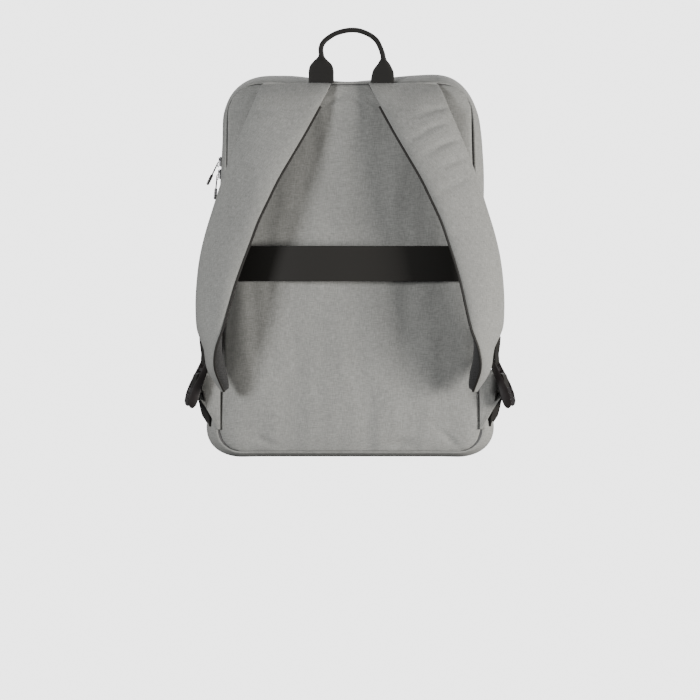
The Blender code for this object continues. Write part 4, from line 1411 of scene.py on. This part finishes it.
def build_string(word, x):
    half_x, half_z = CELL[0] / 2, CELL[1] / 2
    octagon = [(half_x - CELL_CUT, -half_z), (half_x, CELL_CUT - half_z), (half_x, half_z - CELL_CUT),
               (half_x - CELL_CUT, half_z)]
    octagon += [(-px, pz) for px, pz in octagon[::-1]]
    cells = []
    ribbons = []
    for row in range(4):
        z = MODULE_Z + (row - 1.5) * CELL_PITCH
        cells.append(slab("cell", octagon, 0.0004, face_place(0.0020, x, z)))
    for offset in RIBBONS:
        ribbon_bar = brick("ribbon", (0.0014, 0.00016, 4 * CELL_PITCH - 0.006), (0.0, 0.0, 0.0))
        ribbon_bar.data.transform(face_place(0.00228, x + offset, MODULE_Z))
        ribbons.append(ribbon_bar)
    settle(joined("cells_" + word, cells), SILICON, "silicon", "lid", "solar_cells_" + word)
    settle(joined("ribbons_" + word, ribbons), TINNED, "silicon", "lid")


build_string("left", -COLUMN_X)
build_string("right", COLUMN_X)
sheet = round_box(*MODULE_HALF, 0.008, MODULE_Z)
film = slab("module_film", sheet, 0.0006, face_place(0.0029), 0.0002)
settle(film, FILM, "laminate", "lid", "solar_laminate")

# %% [markdown]
# A border of webbing is sewn round the module with two rows of stitches, and holds it on the cloth.

# %% Module border
border_outer = round_box(*module_half, 0.014, MODULE_Z)
border_inner = round_box(MODULE_HALF[0] - BORDER_IN, MODULE_HALF[1] - BORDER_IN, 0.006, MODULE_Z)
border = slab("module_border", border_outer, 0.0014, face_place(0.0042), 0.0005, border_inner)
settle(border, TAPE, "webbing", "lid", "solar_border")


def face_row(outline, y):
    """A closed row of stitches on the front face."""
    out = FACE.to_3x3() @ Vector((0.0, 1.0, 0.0))
    return [(FACE @ Vector((x, y, z)), out) for x, z in [*outline, outline[0]]]


border_rows = [face_row(round_box(MODULE_HALF[0] + grow, MODULE_HALF[1] + grow, 0.008 + grow / 2,
                                  MODULE_Z), 0.0050)
               for grow in (0.0072, -0.0018)]
settle(stitches("border_stitches", border_rows), THREAD, "webbing", "lid")

# %% [markdown]
# The pocket below the module closes with a shorter zip of the same kind.

# %% Pocket zip


def build_pocket_zip():
    tapes = []
    for sign in (-1, 1):
        middle = sign * (POCKET_TAPE_HALF[1] + 0.0012) / 2
        tape = brick("tape", (POCKET_TAPE_HALF[0] * 2, 0.0008, POCKET_TAPE_HALF[1] - 0.0012),
                     (0.0, 0.0, 0.0), 0.0003)
        tape.data.transform(face_place(0.0008, 0.0, ZIP_Z + middle))
        tapes.append(tape)
    settle(joined("pocket_tape", tapes), TAPE, "zip_tape", "lid", "pocket_zip")
    frames = []
    for sign in (-1, 1):
        for index in range(int(2 * SLOT_HALF[0] / PITCH)):
            x = -SLOT_HALF[0] + PITCH * (index + 0.25 + 0.25 * sign)
            turn = Matrix.Rotation(math.pi / 2, 4, "X")
            frames.append(face_place(0.0012, x, ZIP_Z + sign * 0.0011) @ turn)
    settle(repeated("pocket_teeth", tooth(), frames), ACETAL, "zip_tape", "lid")
    rows = [face_row(round_box(SLOT_HALF[0] + 0.004, 0.0098, 0.002, ZIP_Z), 0.0012)]
    settle(stitches("pocket_stitches", rows), THREAD, "grey_cloth", "lid")


build_pocket_zip()
face_out = FACE.to_3x3() @ Vector((0.0, 1.0, 0.0))
build_slider("slider_pocket", "pocket_slider", "pocket_slider", (-1.0, 0.0, 0.0), face_out)
low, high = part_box("pocket_puller")
middle = (low + high) / 2
build_puller("puller_pocket", "pocket_puller", "pocket_puller", Vector((middle.x, middle.y, high.z)),
             Vector((middle.x, middle.y, low.z)), face_out)

# %% [markdown]
# ## Inside
# The pockets are loose bags of thin cloth. Each starts as a block that is cut into small faces,
# puffed out in the middle of its sides, crumpled by smooth noise, opened at its mouth and given a
# thin wall. A bound edge finishes the mouths of the sleeve and the organiser pocket.

# %% Pockets


def soft_bag(name, size, centre, matrix, mouth, wall, puff, crumples):
    """An open bag of cloth: mouth is the side that is left open, in the bag's own frame."""
    bag = brick(name, size, (0.0, 0.0, 0.0), 0.005, 2)
    edit(bag, lambda: bpy.ops.mesh.subdivide(number_cuts=22))
    half = Vector(size) / 2
    for corner in bag.data.vertices:
        share = [corner.co[axis] / half[axis] for axis in range(3)]
        belly = (1.0 - share[0] ** 2) * (1.0 - share[2] ** 2)
        corner.co.y += (1.0 if corner.co.y > 0 else -1.0) * puff * belly
        corner.co.y += crumples * crumple(corner.co, 18.0, len(name)) * (0.3 + 0.7 * belly)
        corner.co.x += 0.5 * crumples * crumple(corner.co, 24.0, 3.0 + len(name))
    edit(bag, lambda: bpy.ops.mesh.select_all(action="DESELECT"),
         lambda: bpy.ops.mesh.select_mode(type="FACE"))
    reach = abs(half.dot(Vector(mouth)))
    for face in bag.data.polygons:
        face.select = face.normal.dot(Vector(mouth)) > 0.75 and face.center.dot(Vector(mouth)) > 0.9 * reach
    only(bag)
    bpy.ops.object.mode_set(mode="EDIT")
    bpy.ops.mesh.delete(type="FACE")
    bpy.ops.mesh.select_mode(type="VERT")
    bpy.ops.object.mode_set(mode="OBJECT")
    bag.data.transform(matrix @ Matrix.Translation(centre))
    return thick(bag, wall)


def mouth_binding(name, size, z, y, matrix, radius):
    """A bound edge round a mouth that opens upwards."""
    half_x, half_y = size[0] / 2, size[1] / 2
    sizes = (half_x, half_x, -half_y, half_y, 0.006, 0.006)
    corners = [outline_point(around(step / 60), sizes) for step in range(61)]
    return tube(name, [matrix @ Vector((x, y + across, z)) for x, across in corners], radius)


sleeve_low, sleeve_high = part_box("laptop_sleeve")
sleeve_size = sleeve_high - sleeve_low
sleeve_centre = (sleeve_high + sleeve_low) / 2
sleeve = soft_bag("sleeve", sleeve_size, sleeve_centre, Matrix(), (0, 0, 1), 0.0018, 0.0010, 0.0012)
settle(sleeve, LINING, "lining", "bag", "laptop_sleeve")
settle(mouth_binding("sleeve_binding", sleeve_size, sleeve_high.z - 0.001, sleeve_centre.y,
                     Matrix(), 0.0016),
       WEBBING, "webbing", "bag")
pocket = soft_bag("front_pocket_bag", (0.250, 0.0180, 0.370), (0.0, -0.0125, 0.215), FACE, (0, 1, 0), 0.0008,
                  0.0, 0.0014)
settle(pocket, LINING, "lining", "lid", "front_pocket")
ORGANISER = (0.220, 0.0120, 0.200)
organiser = soft_bag("organiser_bag", ORGANISER, (0.0, -0.0280, 0.150), FACE, (0, 0, 1), 0.0008,
                     0.0015, 0.0012)
settle(organiser, MESH, "mesh", "lid", "organiser_pocket")
settle(mouth_binding("organiser_binding", ORGANISER, 0.2495, -0.0280, FACE, 0.0013),
       WEBBING, "webbing", "lid")

# %% [markdown]
# A strap of webbing closes the laptop sleeve.

# %% Sleeve strap
CLOSURE = ((-0.0640, 0.330), (-0.0600, 0.318), (-0.0510, 0.302), (-0.0420, 0.292), (-0.0372, 0.280),
           (-0.0366, 0.258),
           (-0.0366, 0.236))


def closure_place(u, v):
    y, z = flowing(CLOSURE, v)
    return Vector(((u - 0.5) * 0.038, y, z))


closure = thick(strip("sleeve_strap", 6, 40, closure_place, (0.038, 0.105)), 0.0014, 0.0)
settle(rounded(closure), WEBBING, "webbing", "bag")

# %% [markdown]
# ## Carried-over pieces
# The stiff pieces keep their CAD shape, and take the finishes.

# %% Finishes for the CAD nodes
KEPT = {
    "back_board": BOARD, "bottom_board": BOARD, "regulator_case": ACETAL, "regulator_cover": ACETAL,
    "usb_socket": PLATED, "regulator_board": CIRCUIT, "solar_backing": BACKING,
}
for name, material in KEPT.items():
    nodes[name].data.materials.clear()
    nodes[name].data.materials.append(material)
print("kept CAD nodes:", len(KEPT))
